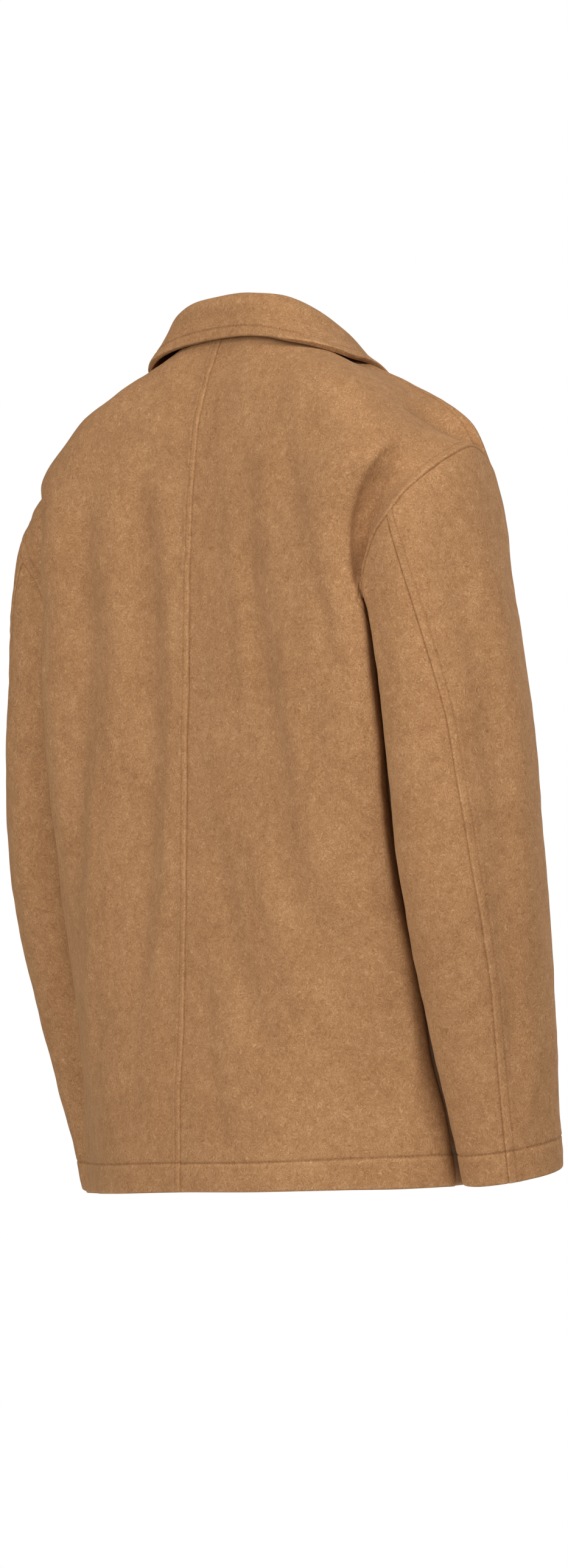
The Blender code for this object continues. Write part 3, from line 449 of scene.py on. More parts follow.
def ripple(points, size, seed):
    """Even random waves about as long as size, of strength one."""
    dice = np.random.default_rng(seed)
    ways = unit(dice.normal(size=(16, 3))) * dice.uniform(0.7, 1.4, (16, 1))
    phase = dice.uniform(0.0, 2.0 * math.pi, 16)
    return np.cos(points @ (ways.T * 2.0 * math.pi / size) + phase).sum(axis=-1) / 2.83


def marks(stitch):
    """Distances from a seam where the mesh is close, with its topstitch among them."""
    near = [0.0, 0.4, 0.9, 1.5, 2.2, 3.0, 3.9]
    around = [stitch - 1.3, stitch - 0.6, stitch, stitch + 0.6, stitch + 1.3, stitch + 2.6,
              stitch + 4.4]
    return np.array([d for d in near if d < stitch - 1.8] + around)


def spread(near, total, far, count, ease=1.0):
    """Places from 0 to total: close marks at both ends, the far ones stretched by ease."""
    first, last = near[-1], total - far[-1] * ease
    inner = np.linspace(first, last, count + 2)[1:-1]
    return np.concatenate([near, inner, total - far[::-1] * ease])


# ================================================================ body
def edge_of(level, front):
    """Edge point of a body panel: side seam, armhole, then shoulder seam."""
    if level <= ARM_LEVEL:
        return spline(SIDE_SEAM[:, 0], SIDE_SEAM[:, 1:], level)[0]
    top = FRONT_TOP if front else BACK_TOP
    if level <= top:
        return armhole(ARM_LOOP - (level - ARM_LEVEL) if front else level - ARM_LEVEL)[0]
    return spline(SHOULDER_SEAM[:, 0], SHOULDER_SEAM[:, 1:], level - top)[0]


def section(row, edge, front):
    """One level of a body panel: its length, and a function that gives points along it."""
    middle, broad, fold, radius, turn = row[0:2], row[2:5], row[5:8], row[8], row[9]
    angles = math.radians(FOLD_START) - math.radians(turn) * np.array([0.0, 0.5, 1.0])
    way = -1.0 if front else 1.0
    around = np.stack([fold[0] + radius * np.cos(angles),
                       fold[1] + way * radius * np.sin(angles)], axis=1)
    behind = edge[:2] - around[2]
    place, tuck = row[10:12] if len(row) > 10 else (TUCK_PLACE, 0.0 if front else BACK_TUCK)
    tucked = around[2] + behind * place + way * tuck * np.array([behind[1], -behind[0]])
    flat = np.vstack([(0.0, middle[0]), broad[:2], around, tucked, edge[:2]])
    reach = lengths(flat)

    def points(places):
        line = spline(np.concatenate([[-reach[1]], reach]),
                      np.vstack([flat[1] * (-1.0, 1.0), flat]), places)
        heights = spline([-reach[1], 0.0, reach[1], reach[3], reach[-1]],
                         [broad[2], middle[1], broad[2], fold[2], edge[2]], places)
        return np.column_stack([line, heights])

    return reach[-1], points


def pressed(points, folds):
    """Height of soft folds along bent lines at the given points of a body panel."""
    height = np.zeros(points.shape[:-1])
    for x0, z0, x1, z1, x2, z2, half, rise in folds:
        z = np.clip(points[..., 2], z2, z0)
        centre = spline([-z0, -z1, -z2], [x0, x1, x2], -z.ravel()).reshape(z.shape)
        into = np.minimum(z0 - points[..., 2], points[..., 2] - z2) / FOLD_ENDS
        height += rise * smooth(into) * np.exp(-((points[..., 0] - centre) / half) ** 2)
    return height


def underlap(grid):
    """Drop the part of the right front that lies under the left one."""
    grid[..., 1] += UNDERLAP_DROP * (1.0 - smooth((grid[..., 0] - OVERLAP - 2.0)
                                                  / UNDERLAP_BLEND))


def draped(side):
    """The table of one half of the back, with its rolled fold and last columns for its tuck."""
    table = {row[0]: np.append(row, (TUCK_PLACE, BACK_TUCK)) for row in BACK}
    for level, *fold in BACK_ROLL[side]:
        broad = spline(BACK[:, 0], BACK[:, 1:6], level)[0]
        table[level] = np.array([level, *broad, *fold])
    return np.array([table[level] for level in sorted(table)])


def body_panel(table, levels, side, front, near, far, step):
    """Grid of points of a body panel and the distance of each column from both its sides."""
    rows = spline(table[:, 0], table[:, 1:], levels)
    edges = np.array([edge_of(level, front) for level in levels])
    cuts = [section(row, edge, front) for row, edge in zip(rows, edges)]
    start = -OVERLAP if front else 0.0
    count = int(max(total - start for total, _ in cuts) / step)
    # where a row meets its edge at a slant, its close columns are stretched to stay as far
    # from the seam as they should be
    leave = np.array([points(np.array([total]))[0] - points(np.array([total - 3.0]))[0]
                      for total, points in cuts])
    along = unit(np.gradient(edges, axis=0))
    lean = np.linalg.norm(np.cross(unit(leave), along), axis=1)
    ease = 1.0 / np.maximum(lean, 0.42)
    ease = np.convolve(np.pad(ease, 6, mode="edge"), np.ones(13) / 13.0, mode="valid")
    grid = np.array([points(start + spread(near, total - start, far, count, soft))
                     for (total, points), soft in zip(cuts, ease)])
    if not front:
        grid[..., 1] += pressed(grid, BACK_FOLDS[side])
    nominal = np.concatenate([near, np.full(count + len(far), FAR)])
    beyond = np.concatenate([np.full(len(near) + count, FAR), far[::-1]])
    return grid, nominal, beyond


def hem_marks(hem):
    """Distances from a folded hem where the mesh is close."""
    turn = [0.0, 0.1, 0.35, 0.75, 1.3, 2.0, 3.0]
    band = list(np.linspace(5.0, hem - 2.6, 9))
    return np.array(turn + band + [hem - 1.4, hem - 0.7, hem, hem + 0.7, hem + 1.5, hem + 3.0])


def body_levels(table, top, rows, cloth):
    """Levels of a body panel's rows from hem to neck, and how far each lies from the hem."""
    hem = hem_marks(cloth.hem)
    levels = np.concatenate([
        hem / HEM_SPAN,
        np.linspace((hem[-1] + 3.0) / HEM_SPAN, 1.0, int(SKIRT / cloth.mesh))[:-1],
        np.linspace(1.0, ARM_LEVEL, int(TRUNK / cloth.mesh))[:-1],
        np.linspace(ARM_LEVEL, top, rows[0])[:-1],
        np.linspace(top, table[-1, 0], rows[1])])
    return levels, np.concatenate([hem, np.full(len(levels) - len(hem), FAR)])[:, None]


# ================================================================ sleeve
def ring(z, stations):
    """Ellipse square to the sleeve at the heights z, read at the armhole stations."""
    table = SLEEVE[::-1]
    rows = spline(table[:, 0], table[:, 1:], z)
    ahead = spline(table[:, 0], table[:, 1:3], np.asarray(z) + 1.0) - rows[:, 0:2]
    turn = np.where(
        stations <= ARM_BACK_SEAM,
        UNDERARM_TURN + (rows[:, 4] - UNDERARM_TURN) * stations / ARM_BACK_SEAM,
        np.where(stations <= ARM_TOP_SEAM,
                 rows[:, 4] + (rows[:, 5] - rows[:, 4]) * (stations - ARM_BACK_SEAM)
                 / (ARM_TOP_SEAM - ARM_BACK_SEAM),
                 rows[:, 5] + (360.0 + UNDERARM_TURN - rows[:, 5])
                 * (stations - ARM_TOP_SEAM) / (ARM_LOOP - ARM_TOP_SEAM)))
    angle = np.radians(turn)
    off_x, off_y = rows[:, 2] * np.sin(angle), rows[:, 3] * np.cos(angle)
    tilt = -(ahead[:, 0] * off_x + ahead[:, 1] * off_y)
    return np.column_stack([rows[:, 0] + off_x, rows[:, 1] + off_y, z + tilt]), turn


def cap(share, stations):
    """Points of the sleeve between the armhole (share 0) and its first ring (share 1)."""
    around = np.mod(stations, ARM_LOOP)
    leave = spline(SLEEVE_LEAVE[:, 0], SLEEVE_LEAVE[:, 1:], around)
    z = np.full(len(around), SLEEVE[0, 0])
    first, turns = ring(z, around)
    below, _ = ring(z - 5.0, around)
    reach = leave[:, 3:4]
    out, down = unit(leave[:, :3]) * reach, unit(below - first) * reach
    s = np.asarray(share)[:, None]
    return ((2 * s**3 - 3 * s**2 + 1) * armhole(around) + (s**3 - 2 * s**2 + s) * out
            + (3 * s**2 - 2 * s**3) * first + (s**3 - s**2) * down), turns


def sleeve_height(points, turns, side):
    """Height of the soft folds and creases of one sleeve."""
    height = np.zeros(points.shape[:-1])
    for a0, z0, a1, z1, half, rise in SLEEVE_FOLDS[side]:
        top, bottom = max(z0, z1), min(z0, z1)
        share = np.clip((points[..., 2] - z0) / (z1 - z0), 0.0, 1.0)
        off = (turns - (a0 + (a1 - a0) * share) + 180.0) % 360.0 - 180.0
        into = np.minimum(top - points[..., 2], points[..., 2] - bottom) / FOLD_ENDS
        height += rise * smooth(into) * np.exp(-(off / half) ** 2)
    for a0, z0, a1, z1, half, rise in SLEEVE_CREASES[side]:
        middle, reach = (a0 + a1) / 2.0, abs(a1 - a0) / 2.0
        off = (turns - middle + 180.0) % 360.0 - 180.0
        share = off / (a1 - a0) + 0.5
        line = z0 + (z1 - z0) * share + 10.0 * (share - 0.5) ** 2
        fade = smooth((1.35 - np.abs(off) / reach) / 0.7)
        height += rise * fade * np.exp(-((points[..., 2] - line) / half) ** 2)
    return height


def in_loop(stations):
    """Stations past the loop's end, brought back to its beginning, its very end kept."""
    return np.where(stations > ARM_LOOP, stations - ARM_LOOP, stations)


def fitted(stations, points, near, count):
    """Stations of the columns: close beside both seams and even between."""
    reach = lengths(points)
    return np.interp(spread(near, reach[-1], near, count), reach, stations)


def sleeve_panel(begin, end, side, near, hem, step):
    """Grid of one sleeve piece from the armhole to the hem, and its distances."""
    dense = np.linspace(begin, end, 161)                        # fine enough to measure by
    shares = np.linspace(0.0, 1.0, 81)
    curves = np.array([cap(np.full(len(dense), s), dense)[0] for s in shares])
    run = lengths(curves.transpose(1, 0, 2))                    # station by share
    rows_cap = int(run[:, -1].max() / step)
    places = np.array([spread(near, total, np.array([0.0]), rows_cap) for total in run[:, -1]])
    share_at = np.array([np.interp(p, r, shares) for p, r in zip(places, run)])
    widest = max(lengths(ring(np.full(len(dense), z), np.mod(dense - 1e-6, ARM_LOOP))[0])[-1]
                 for z in (-345.0, -420.0, -500.0))
    columns = int(widest / step)
    grid, turns = [], []
    for row in range(places.shape[1]):
        share = share_at[:, row]
        stations = fitted(dense, cap(share, dense)[0], near, columns)
        found, turn = cap(np.interp(stations, dense, share), stations)
        grid.append(found)
        turns.append(turn)
    z1, z2 = SLEEVE[0, 0], SLEEVE[-1, 0]
    hems = hem_marks(hem)[::-1]
    lower = np.linspace(z1, z2 + hems[0], int((z1 - z2 - hems[0]) / step) + 1)[1:-1]
    for z in list(lower) + list(z2 + hems):
        level = np.full(len(dense), z)
        stations = fitted(dense, ring(level, in_loop(dense))[0], near, columns)
        found, turn = ring(np.full(len(stations), z), in_loop(stations))
        grid.append(found)
        turns.append(turn)
    grid, turns = np.array(grid), np.array(turns)
    nominal = np.concatenate([near, np.full(grid.shape[1] - len(near), FAR)])
    beyond = np.concatenate([np.full(grid.shape[1] - len(near), FAR), near[::-1]])
    from_arm = np.concatenate([near, np.full(len(grid) - len(near), FAR)])
    from_hem = np.concatenate([np.full(len(grid) - len(hems), FAR), hems])
    centre = []
    around = np.linspace(0.0, ARM_LOOP, 33)[:-1]
    for row in range(len(grid)):
        if row < places.shape[1]:
            whole = cap(np.full(len(around), share_at[:, row].mean()), around)[0]
        else:
            whole = ring(np.full(len(around), grid[row, :, 2].mean()), around)[0]
        centre.append(whole.mean(axis=0))
    away = unit((grid - np.array(centre)[:, None]) * (1.0, 1.0, 0.0))
    grid = grid + away * sleeve_height(grid, turns, side)[..., None]
    return grid, nominal, beyond, from_arm, from_hem


# ================================================================ cloth
def normals_of(grid, outward):
    """Unit normals of a grid; outward is 1 or -1 for the way its rows and columns run."""
    return outward * unit(np.cross(np.gradient(grid, axis=0), np.gradient(grid, axis=1)))


def placed(points, mirror):
    """Points in millimetres brought to their side and tilt, in metres."""
    points = np.array(points, float)
    if mirror:
        points = points * (-1.0, 1.0, 1.0)
    points[..., 2] -= SHOULDER_TILT * points[..., 0]
    return points * 0.001


# A seam's shape is a sum of humps at their distances from it, each with a height or with a tone
# painted on the wool, which is lighter above zero where raised rims are worn and darker below zero
# as painted shade in seam lines and stitch grooves.
def hump(distance, centre, width):
    """A soft hump of height one."""
    return np.exp(-((distance - centre) / width) ** 2)


def lapped(distance, stitch, cloth):
    """The stitched side of a seam: height, tone painted on the wool and tightness of the sewing.

    Its edge is folded under, so it stands up as a band with a rounded rim that is worn lighter,
    and the topstitching sinks into it; painted shade darkens the seam line and the groove of the
    stitches.
    """
    band = cloth.ridge * (1.0 - smooth((distance - stitch - 0.8) / 5.0))
    height = band - (cloth.ridge + 0.5) * hump(distance, 0.0, 0.8) \
        - cloth.dimple * hump(distance, stitch, 0.85)
    # worn lighter rim; painted shade in the seam line and in the groove of the stitches
    rub = 0.4 * hump(distance, 1.3, 0.8) - 1.2 * hump(distance, 0.0, 0.6) \
        - 1.1 * hump(distance, stitch, 0.6)
    return np.stack([height, rub, hump(distance, stitch, 5.0)], axis=-1)


def tucked(distance, drop, width):
    """The plain side of a seam, which dips under its neighbour, with painted shade along the seam
    line.
    """
    height = -drop * hump(distance, 0.0, width)
    # painted shade in the seam line where the cloth dips under
    return np.stack([height, -0.9 * hump(distance, 0.0, 0.6), 0.0 * distance], axis=-1)


def pressed_open(distance):
    """A plain seam pressed open: a low ridge, lighter along its top, with a fine line of painted
    shade down its middle.
    """
    height = 0.4 * hump(distance, 1.7, 1.5) - 0.5 * hump(distance, 0.0, 0.6)
    # lighter on the ridge; painted shade in the line down the middle
    rub = 0.7 * hump(distance, 1.4, 0.9) - 0.9 * hump(distance, 0.0, 0.4)
    return np.stack([height, rub, 0.4 * hump(distance, 1.5, 4.0)], axis=-1)


def turned_hem(distance, cloth):
    """A turned-up hem: full between its fold and its line of stitches, with painted shade in the
    groove of the stitches.
    """
    height = 0.35 * np.sin(math.pi * np.clip(distance / cloth.hem, 0.0, 1.0)) \
        - 1.15 * cloth.dimple * hump(distance, cloth.hem, 0.95)
    # lighter along the fold and beside the stitches; painted shade in the stitch groove
    rub = 0.5 * hump(distance, 1.2, 1.4) - 1.8 * hump(distance, cloth.hem, 0.7) \
        + 0.4 * hump(distance, cloth.hem - 2.0, 1.0)
    return np.stack([height, rub, hump(distance, cloth.hem, 6.0)], axis=-1)


def hem_wall(distance, cloth):
    """How far the outside is pulled in and the depth of the inside, near a folded hem."""
    half = cloth.hem_layers / 2.0
    round_in = half - np.sqrt(np.clip(half**2 - np.clip(half - distance, 0.0, half)**2, 0, None))
    layers = cloth.thickness + (cloth.hem_layers - cloth.thickness) * (
        1.0 - smooth((distance - cloth.hem - 0.3) / 2.2))
    pulled = np.minimum(round_in, half - 0.15)                  # a thin edge is always left
    return pulled, layers - pulled


def cloth_mesh(name, outer, inner, rub, mirror, material):
    """Closed shell between two matching grids, with the wool's tone as an attribute: lighter on
    worn rims, painted shade in seam lines and stitch grooves.

    The faces are turned round where the shell's volume comes out negative.
    """
    rows, cols = outer.shape[:2]
    points = placed(np.concatenate([outer.reshape(-1, 3), inner.reshape(-1, 3)]), mirror)
    count = rows * cols
    index = np.arange(count).reshape(rows, cols)
    a, b = index[:-1, :-1].ravel(), index[:-1, 1:].ravel()
    d, e = index[1:, :-1].ravel(), index[1:, 1:].ravel()
    front = np.stack([a, b, e, d], axis=1)
    rim = np.concatenate([index[0, :], index[1:, -1], index[-1, -2::-1], index[-2:0:-1, 0]])
    after = np.roll(rim, -1)
    side = np.stack([after, rim, count + rim, count + after], axis=1)
    faces = np.concatenate([front, count + front[:, ::-1], side])
    v = points[faces]
    volume = np.einsum("ij,ij->i", v[:, 0], np.cross(v[:, 1], v[:, 2])).sum() \
        + np.einsum("ij,ij->i", v[:, 0], np.cross(v[:, 2], v[:, 3])).sum()
    if volume < 0.0:
        faces = faces[:, ::-1]
    mesh = bpy.data.meshes.new(name)
    mesh.from_pydata(points.tolist(), [], faces.tolist())
    # tone of worn rims and painted shade of seam lines and stitch grooves
    field = mesh.attributes.new("rub", "FLOAT", "POINT")
    values = np.concatenate([rub.ravel(), np.zeros(count)])
    field.data.foreach_set("value", values.astype(np.float32))
    mesh.polygons.foreach_set("use_smooth", np.ones(len(faces), bool))
    mesh.set_sharp_from_angle(angle=math.radians(60.0))
    mesh.materials.append(material)
    item = bpy.data.objects.new(name, mesh)
    bpy.context.scene.collection.objects.link(item)
    return item


def finish_cloth(item, node, stitches):
    """Attach a cloth piece and its stitches to the root body and hide the part it replaces."""
    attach(item, "root")
    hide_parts(node)
    if stitches:
        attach(stitches, "root")


# ================================================================ stitches
def stitch_run(points, normals, pitch):
    """Places, directions and outward normals of the stitches along a line."""
    reach = lengths(points)
    count = max(int(reach[-1] / pitch), 1)
    at = (np.arange(count) + 0.5) * reach[-1] / count
    place = np.stack([np.interp(at, reach, points[:, k]) for k in range(3)], axis=1)
    out = unit(np.stack([np.interp(at, reach, normals[:, k]) for k in range(3)], axis=1))
    run = np.stack([np.interp(at + 0.8, reach, points[:, k])
                    - np.interp(at - 0.8, reach, points[:, k]) for k in range(3)], axis=1)
    return place, unit(run), out


def add(tree, kind, values=None, links=None, **settings):
    """Add a node with its settings, the values of its inputs and the links into them."""
    node = tree.nodes.new(kind)
    for key, value in settings.items():
        setattr(node, key, value)
    for key, value in (values or {}).items():
        node.inputs[key].default_value = value
    for key, source in (links or {}).items():
        tree.links.new(source, node.inputs[key])
    return node


def stitch_tree():
    """Geometry Nodes that lay one rounded stitch on every point of a line of sewing."""
    tree = bpy.data.node_groups.get("Topstitching")
    if tree:
        return tree
    tree = bpy.data.node_groups.new("Topstitching", "GeometryNodeTree")
    face = tree.interface
    face.new_socket("Geometry", in_out="INPUT", socket_type="NodeSocketGeometry")
    for name, value in (("Length", 0.0023), ("Width", 0.0006), ("Height", 0.0005)):
        socket = face.new_socket(name, in_out="INPUT", socket_type="NodeSocketFloat")
        socket.default_value, socket.subtype = value, "DISTANCE"
    face.new_socket("Unevenness", in_out="INPUT",
                    socket_type="NodeSocketFloat").default_value = 0.1
    face.new_socket("Seed", in_out="INPUT", socket_type="NodeSocketInt").default_value = 7
    face.new_socket("Material", in_out="INPUT", socket_type="NodeSocketMaterial")
    face.new_socket("Geometry", in_out="OUTPUT", socket_type="NodeSocketGeometry")
    given = add(tree, "NodeGroupInput").outputs
    run = add(tree, "GeometryNodeInputNamedAttribute", {"Name": "run"},
              data_type="FLOAT_VECTOR").outputs["Attribute"]
    out = add(tree, "GeometryNodeInputNamedAttribute", {"Name": "out"},
              data_type="FLOAT_VECTOR").outputs["Attribute"]
    bead = add(tree, "GeometryNodeMeshUVSphere", {"Segments": 6, "Rings": 5, "Radius": 0.5})
    size = add(tree, "ShaderNodeCombineXYZ", links={"X": given["Length"], "Y": given["Width"],
                                                    "Z": given["Height"]})
    lying = add(tree, "GeometryNodeTransform", {"Rotation": (0.0, math.pi / 2.0, 0.0)},
                {"Geometry": bead.outputs["Mesh"]})
    shaped = add(tree, "GeometryNodeTransform", None,
                 {"Geometry": lying.outputs["Geometry"], "Scale": size.outputs["Vector"]})
    soft = add(tree, "GeometryNodeSetShadeSmooth", None,
               {"Geometry": shaped.outputs["Geometry"]})
    along = add(tree, "FunctionNodeAlignRotationToVector", None, {"Vector": run}, axis="X")
    stood = add(tree, "FunctionNodeAlignRotationToVector", None,
                {"Rotation": along.outputs["Rotation"], "Vector": out}, axis="Z",
                pivot_axis="X")
    least = add(tree, "ShaderNodeMath", {0: 1.0}, {1: given["Unevenness"]},
                operation="SUBTRACT")
    most = add(tree, "ShaderNodeMath", {0: 1.0}, {1: given["Unevenness"]}, operation="ADD")
    uneven = add(tree, "FunctionNodeRandomValue", None,
                 {"Seed": given["Seed"]}, data_type="FLOAT_VECTOR")
    tree.links.new(least.outputs[0], uneven.inputs[0])
    tree.links.new(most.outputs[0], uneven.inputs[1])
    laid = add(tree, "GeometryNodeInstanceOnPoints", None,
               {"Points": given["Geometry"], "Instance": soft.outputs["Geometry"],
                "Rotation": stood.outputs["Rotation"], "Scale": uneven.outputs[0]})
    real = add(tree, "GeometryNodeRealizeInstances", None,
               {"Geometry": laid.outputs["Instances"]})
    done = add(tree, "GeometryNodeSetMaterial", None,
               {"Geometry": real.outputs["Geometry"], "Material": given["Material"]})
    add(tree, "NodeGroupOutput", None, {"Geometry": done.outputs["Geometry"]})
    return tree


def sew(name, runs, mirror, sewing, material):
    """One mesh of all the stitches along the given lines of points and normals."""
    parts = [stitch_run(points, normals, sewing.pitch) for points, normals in runs]
    place, run, out = (np.concatenate([part[k] for part in parts]) for k in range(3))
    place = placed(place - out * sewing.sunk, mirror)
    if mirror:
        run, out = run * (-1.0, 1.0, 1.0), out * (-1.0, 1.0, 1.0)
    mesh = bpy.data.meshes.new(name + "_places")
    mesh.from_pydata(place.tolist(), [], [])
    for key, values in (("run", run), ("out", out)):
        field = mesh.attributes.new(key, "FLOAT_VECTOR", "POINT")
        field.data.foreach_set("vector", values.astype(np.float32).ravel())
    guide = bpy.data.objects.new(name + "_places", mesh)
    bpy.context.scene.collection.objects.link(guide)
    tree = stitch_tree()
    lay = guide.modifiers.new("Stitches", "NODES")
    lay.node_group = tree
    inputs = {"Length": sewing.length * 0.001, "Width": sewing.thread * 0.001,
              "Height": sewing.thread * 0.0009, "Unevenness": 0.08, "Seed": 7,
              "Material": material}
    for socket in tree.interface.items_tree:
        if socket.in_out == "INPUT" and socket.name in inputs:
            lay[socket.identifier] = inputs[socket.name]
    graph = bpy.context.evaluated_depsgraph_get()
    made = bpy.data.meshes.new_from_object(guide.evaluated_get(graph), depsgraph=graph)
    made.name = name
    for key in ("run", "out"):
        if key in made.attributes:
            made.attributes.remove(made.attributes[key])
    bpy.data.objects.remove(guide, do_unlink=True)
    item = bpy.data.objects.new(name, made)
    bpy.context.scene.collection.objects.link(item)
    if not made.polygons:
        raise RuntimeError(name + " came out with no stitches")
    return item


# ================================================================ materials
def new_material(name):
    """An empty material with a Principled shader: the tree, the shader."""
    material = bpy.data.materials.new(name)
    material.use_nodes = True
    return material, material.node_tree, material.node_tree.nodes["Principled BSDF"]


def felted_wool(colours):
    """Melton: woollen cloth milled to a felt and brushed.

    The eye sees no weave: short fibres lie every way in a cloudy brown, raised edges are rubbed
    lighter, hollows are painted darker as shade, and a soft sheen runs along the outline.
    """
    name = "felted wool melton"
    if name in bpy.data.materials:
        return bpy.data.materials[name]
    material, tree, shader = new_material(name)
    place = add(tree, "ShaderNodeTexCoord").outputs["Object"]
    # 7 mm swirls bend the lie of the fibres
    swirl = add(tree, "ShaderNodeTexNoise", {"Scale": 140.0, "Detail": 1.0},
                {"Vector": place}).outputs["Color"]
    bent = add(tree, "ShaderNodeMix", {"Factor": 0.012}, None, data_type="VECTOR")
    tree.links.new(place, bent.inputs[4])
    tree.links.new(swirl, bent.inputs[5])
    lie = bent.outputs[1]
    fibres = []
    # fibres drawn 0.7 mm wide and about 3 mm long, which is as fine as the picture shows
    for turn, scale in (((0.4, 0.9, 0.2), (1.0, 1.0, 0.24)), ((1.3, 0.2, 1.1), (0.24, 1.0, 1.0))):
        laid = add(tree, "ShaderNodeMapping", {"Rotation": turn, "Scale": scale},
                   {"Vector": lie})
        fibres.append(add(tree, "ShaderNodeTexNoise", {"Scale": 1150.0, "Detail": 2.0,
                                                       "Roughness": 0.62, "Distortion": 0.25},
                          {"Vector": laid.outputs["Vector"]}).outputs["Fac"])
    both = add(tree, "ShaderNodeMath", None, {0: fibres[0], 1: fibres[1]}, operation="ADD")
    # cloudy patches of 6 to 12 mm and of 40 mm
    cloud = add(tree, "ShaderNodeTexNoise", {"Scale": 120.0, "Detail": 3.0, "Roughness": 0.6},
                {"Vector": place}).outputs["Fac"]
    broad = add(tree, "ShaderNodeTexNoise", {"Scale": 26.0, "Detail": 2.0, "Roughness": 0.5},
                {"Vector": place}).outputs["Fac"]
    # worn lighter rims, and painted shade in seam lines and stitch grooves, read from the mesh
    rub = add(tree, "ShaderNodeAttribute", attribute_name="rub",
              attribute_type="GEOMETRY").outputs["Fac"]
    tone = add(tree, "ShaderNodeMath", {1: 0.50}, {0: both.outputs[0]},
               operation="MULTIPLY").outputs[0]
    for source, share in ((cloud, 0.22), (broad, 0.12), (rub, 0.11)):
        tone = add(tree, "ShaderNodeMath", {1: share}, {0: source, 2: tone},
                   operation="MULTIPLY_ADD").outputs[0]
    shade = add(tree, "ShaderNodeMapRange", {"From Min": 0.38, "From Max": 0.96},
                {"Value": tone})
    ramp = add(tree, "ShaderNodeValToRGB", None, {"Fac": shade.outputs["Result"]})
    ramp.color_ramp.elements[0].color = (*colours.wool_dark, 1.0)
    ramp.color_ramp.elements[1].color = (*colours.wool_light, 1.0)
    middle = ramp.color_ramp.elements.new(0.5)
    middle.color = (*colours.wool, 1.0)
    tree.links.new(ramp.outputs["Color"], shader.inputs["Base Color"])
    # the nap: fibres stand up a few tenths of a millimetre
    nap = add(tree, "ShaderNodeTexNoise", {"Scale": 2300.0, "Detail": 1.0}, {"Vector": lie})
    height = add(tree, "ShaderNodeMath", {1: 0.5}, {0: nap.outputs["Fac"], 2: both.outputs[0]},
                 operation="MULTIPLY_ADD")
    bump = add(tree, "ShaderNodeBump", {"Strength": 0.4, "Distance": 0.0005},
               {"Height": height.outputs[0]})
    tree.links.new(bump.outputs["Normal"], shader.inputs["Normal"])
    shader.inputs["Roughness"].default_value = 0.93
    shader.inputs["Specular IOR Level"].default_value = 0.18
    shader.inputs["Sheen Weight"].default_value = 0.22
    shader.inputs["Sheen Roughness"].default_value = 0.5
    shader.inputs["Sheen Tint"].default_value = (*colours.wool_light, 1.0)
    return material


def spun_thread(colours):
    """Spun polyester sewing thread: a faint twist and a soft shine, close to the wool."""
    name = "spun polyester thread"
    if name in bpy.data.materials:
        return bpy.data.materials[name]
    material, tree, shader = new_material(name)
    place = add(tree, "ShaderNodeTexCoord").outputs["Object"]
    twist = add(tree, "ShaderNodeTexNoise", {"Scale": 900.0, "Detail": 1.0}, {"Vector": place})
    ramp = add(tree, "ShaderNodeValToRGB", None, {"Fac": twist.outputs["Fac"]})
    ramp.color_ramp.elements[0].position = 0.3
    ramp.color_ramp.elements[0].color = tuple(v * 0.72 for v in colours.thread) + (1.0,)
    ramp.color_ramp.elements[1].position = 0.7
    ramp.color_ramp.elements[1].color = (*colours.thread, 1.0)
    tree.links.new(ramp.outputs["Color"], shader.inputs["Base Color"])
    bump = add(tree, "ShaderNodeBump", {"Strength": 0.3, "Distance": 0.0001},
               {"Height": twist.outputs["Fac"]})
    tree.links.new(bump.outputs["Normal"], shader.inputs["Normal"])
    shader.inputs["Roughness"].default_value = 0.6
    shader.inputs["Sheen Weight"].default_value = 0.1
    return material


def polished_horn(colours):
    """Buffalo horn, turned and polished: dark brown with long paler streaks and a soft gloss."""
    name = "polished buffalo horn"
    if name in bpy.data.materials:
        return bpy.data.materials[name]
    material, tree, shader = new_material(name)
    place = add(tree, "ShaderNodeTexCoord").outputs["Object"]
    drawn = add(tree, "ShaderNodeMapping", {"Scale": (1.0, 0.3, 0.22),
                                            "Rotation": (0.3, 0.5, 0.0)}, {"Vector": place})
    streak = add(tree, "ShaderNodeTexNoise", {"Scale": 420.0, "Detail": 4.0,
                                              "Roughness": 0.6, "Distortion": 0.6},
                 {"Vector": drawn.outputs["Vector"]})
    ramp = add(tree, "ShaderNodeValToRGB", None, {"Fac": streak.outputs["Fac"]})
    ramp.color_ramp.elements[0].position = 0.42
    ramp.color_ramp.elements[0].color = (*colours.horn, 1.0)
    ramp.color_ramp.elements[1].position = 0.72
    ramp.color_ramp.elements[1].color = (*colours.horn_light, 1.0)
    tree.links.new(ramp.outputs["Color"], shader.inputs["Base Color"])
    rough = add(tree, "ShaderNodeMapRange", {"To Min": 0.26, "To Max": 0.42},
                {"Value": streak.outputs["Fac"]})
    tree.links.new(rough.outputs["Result"], shader.inputs["Roughness"])
    shader.inputs["IOR"].default_value = 1.54
    return material


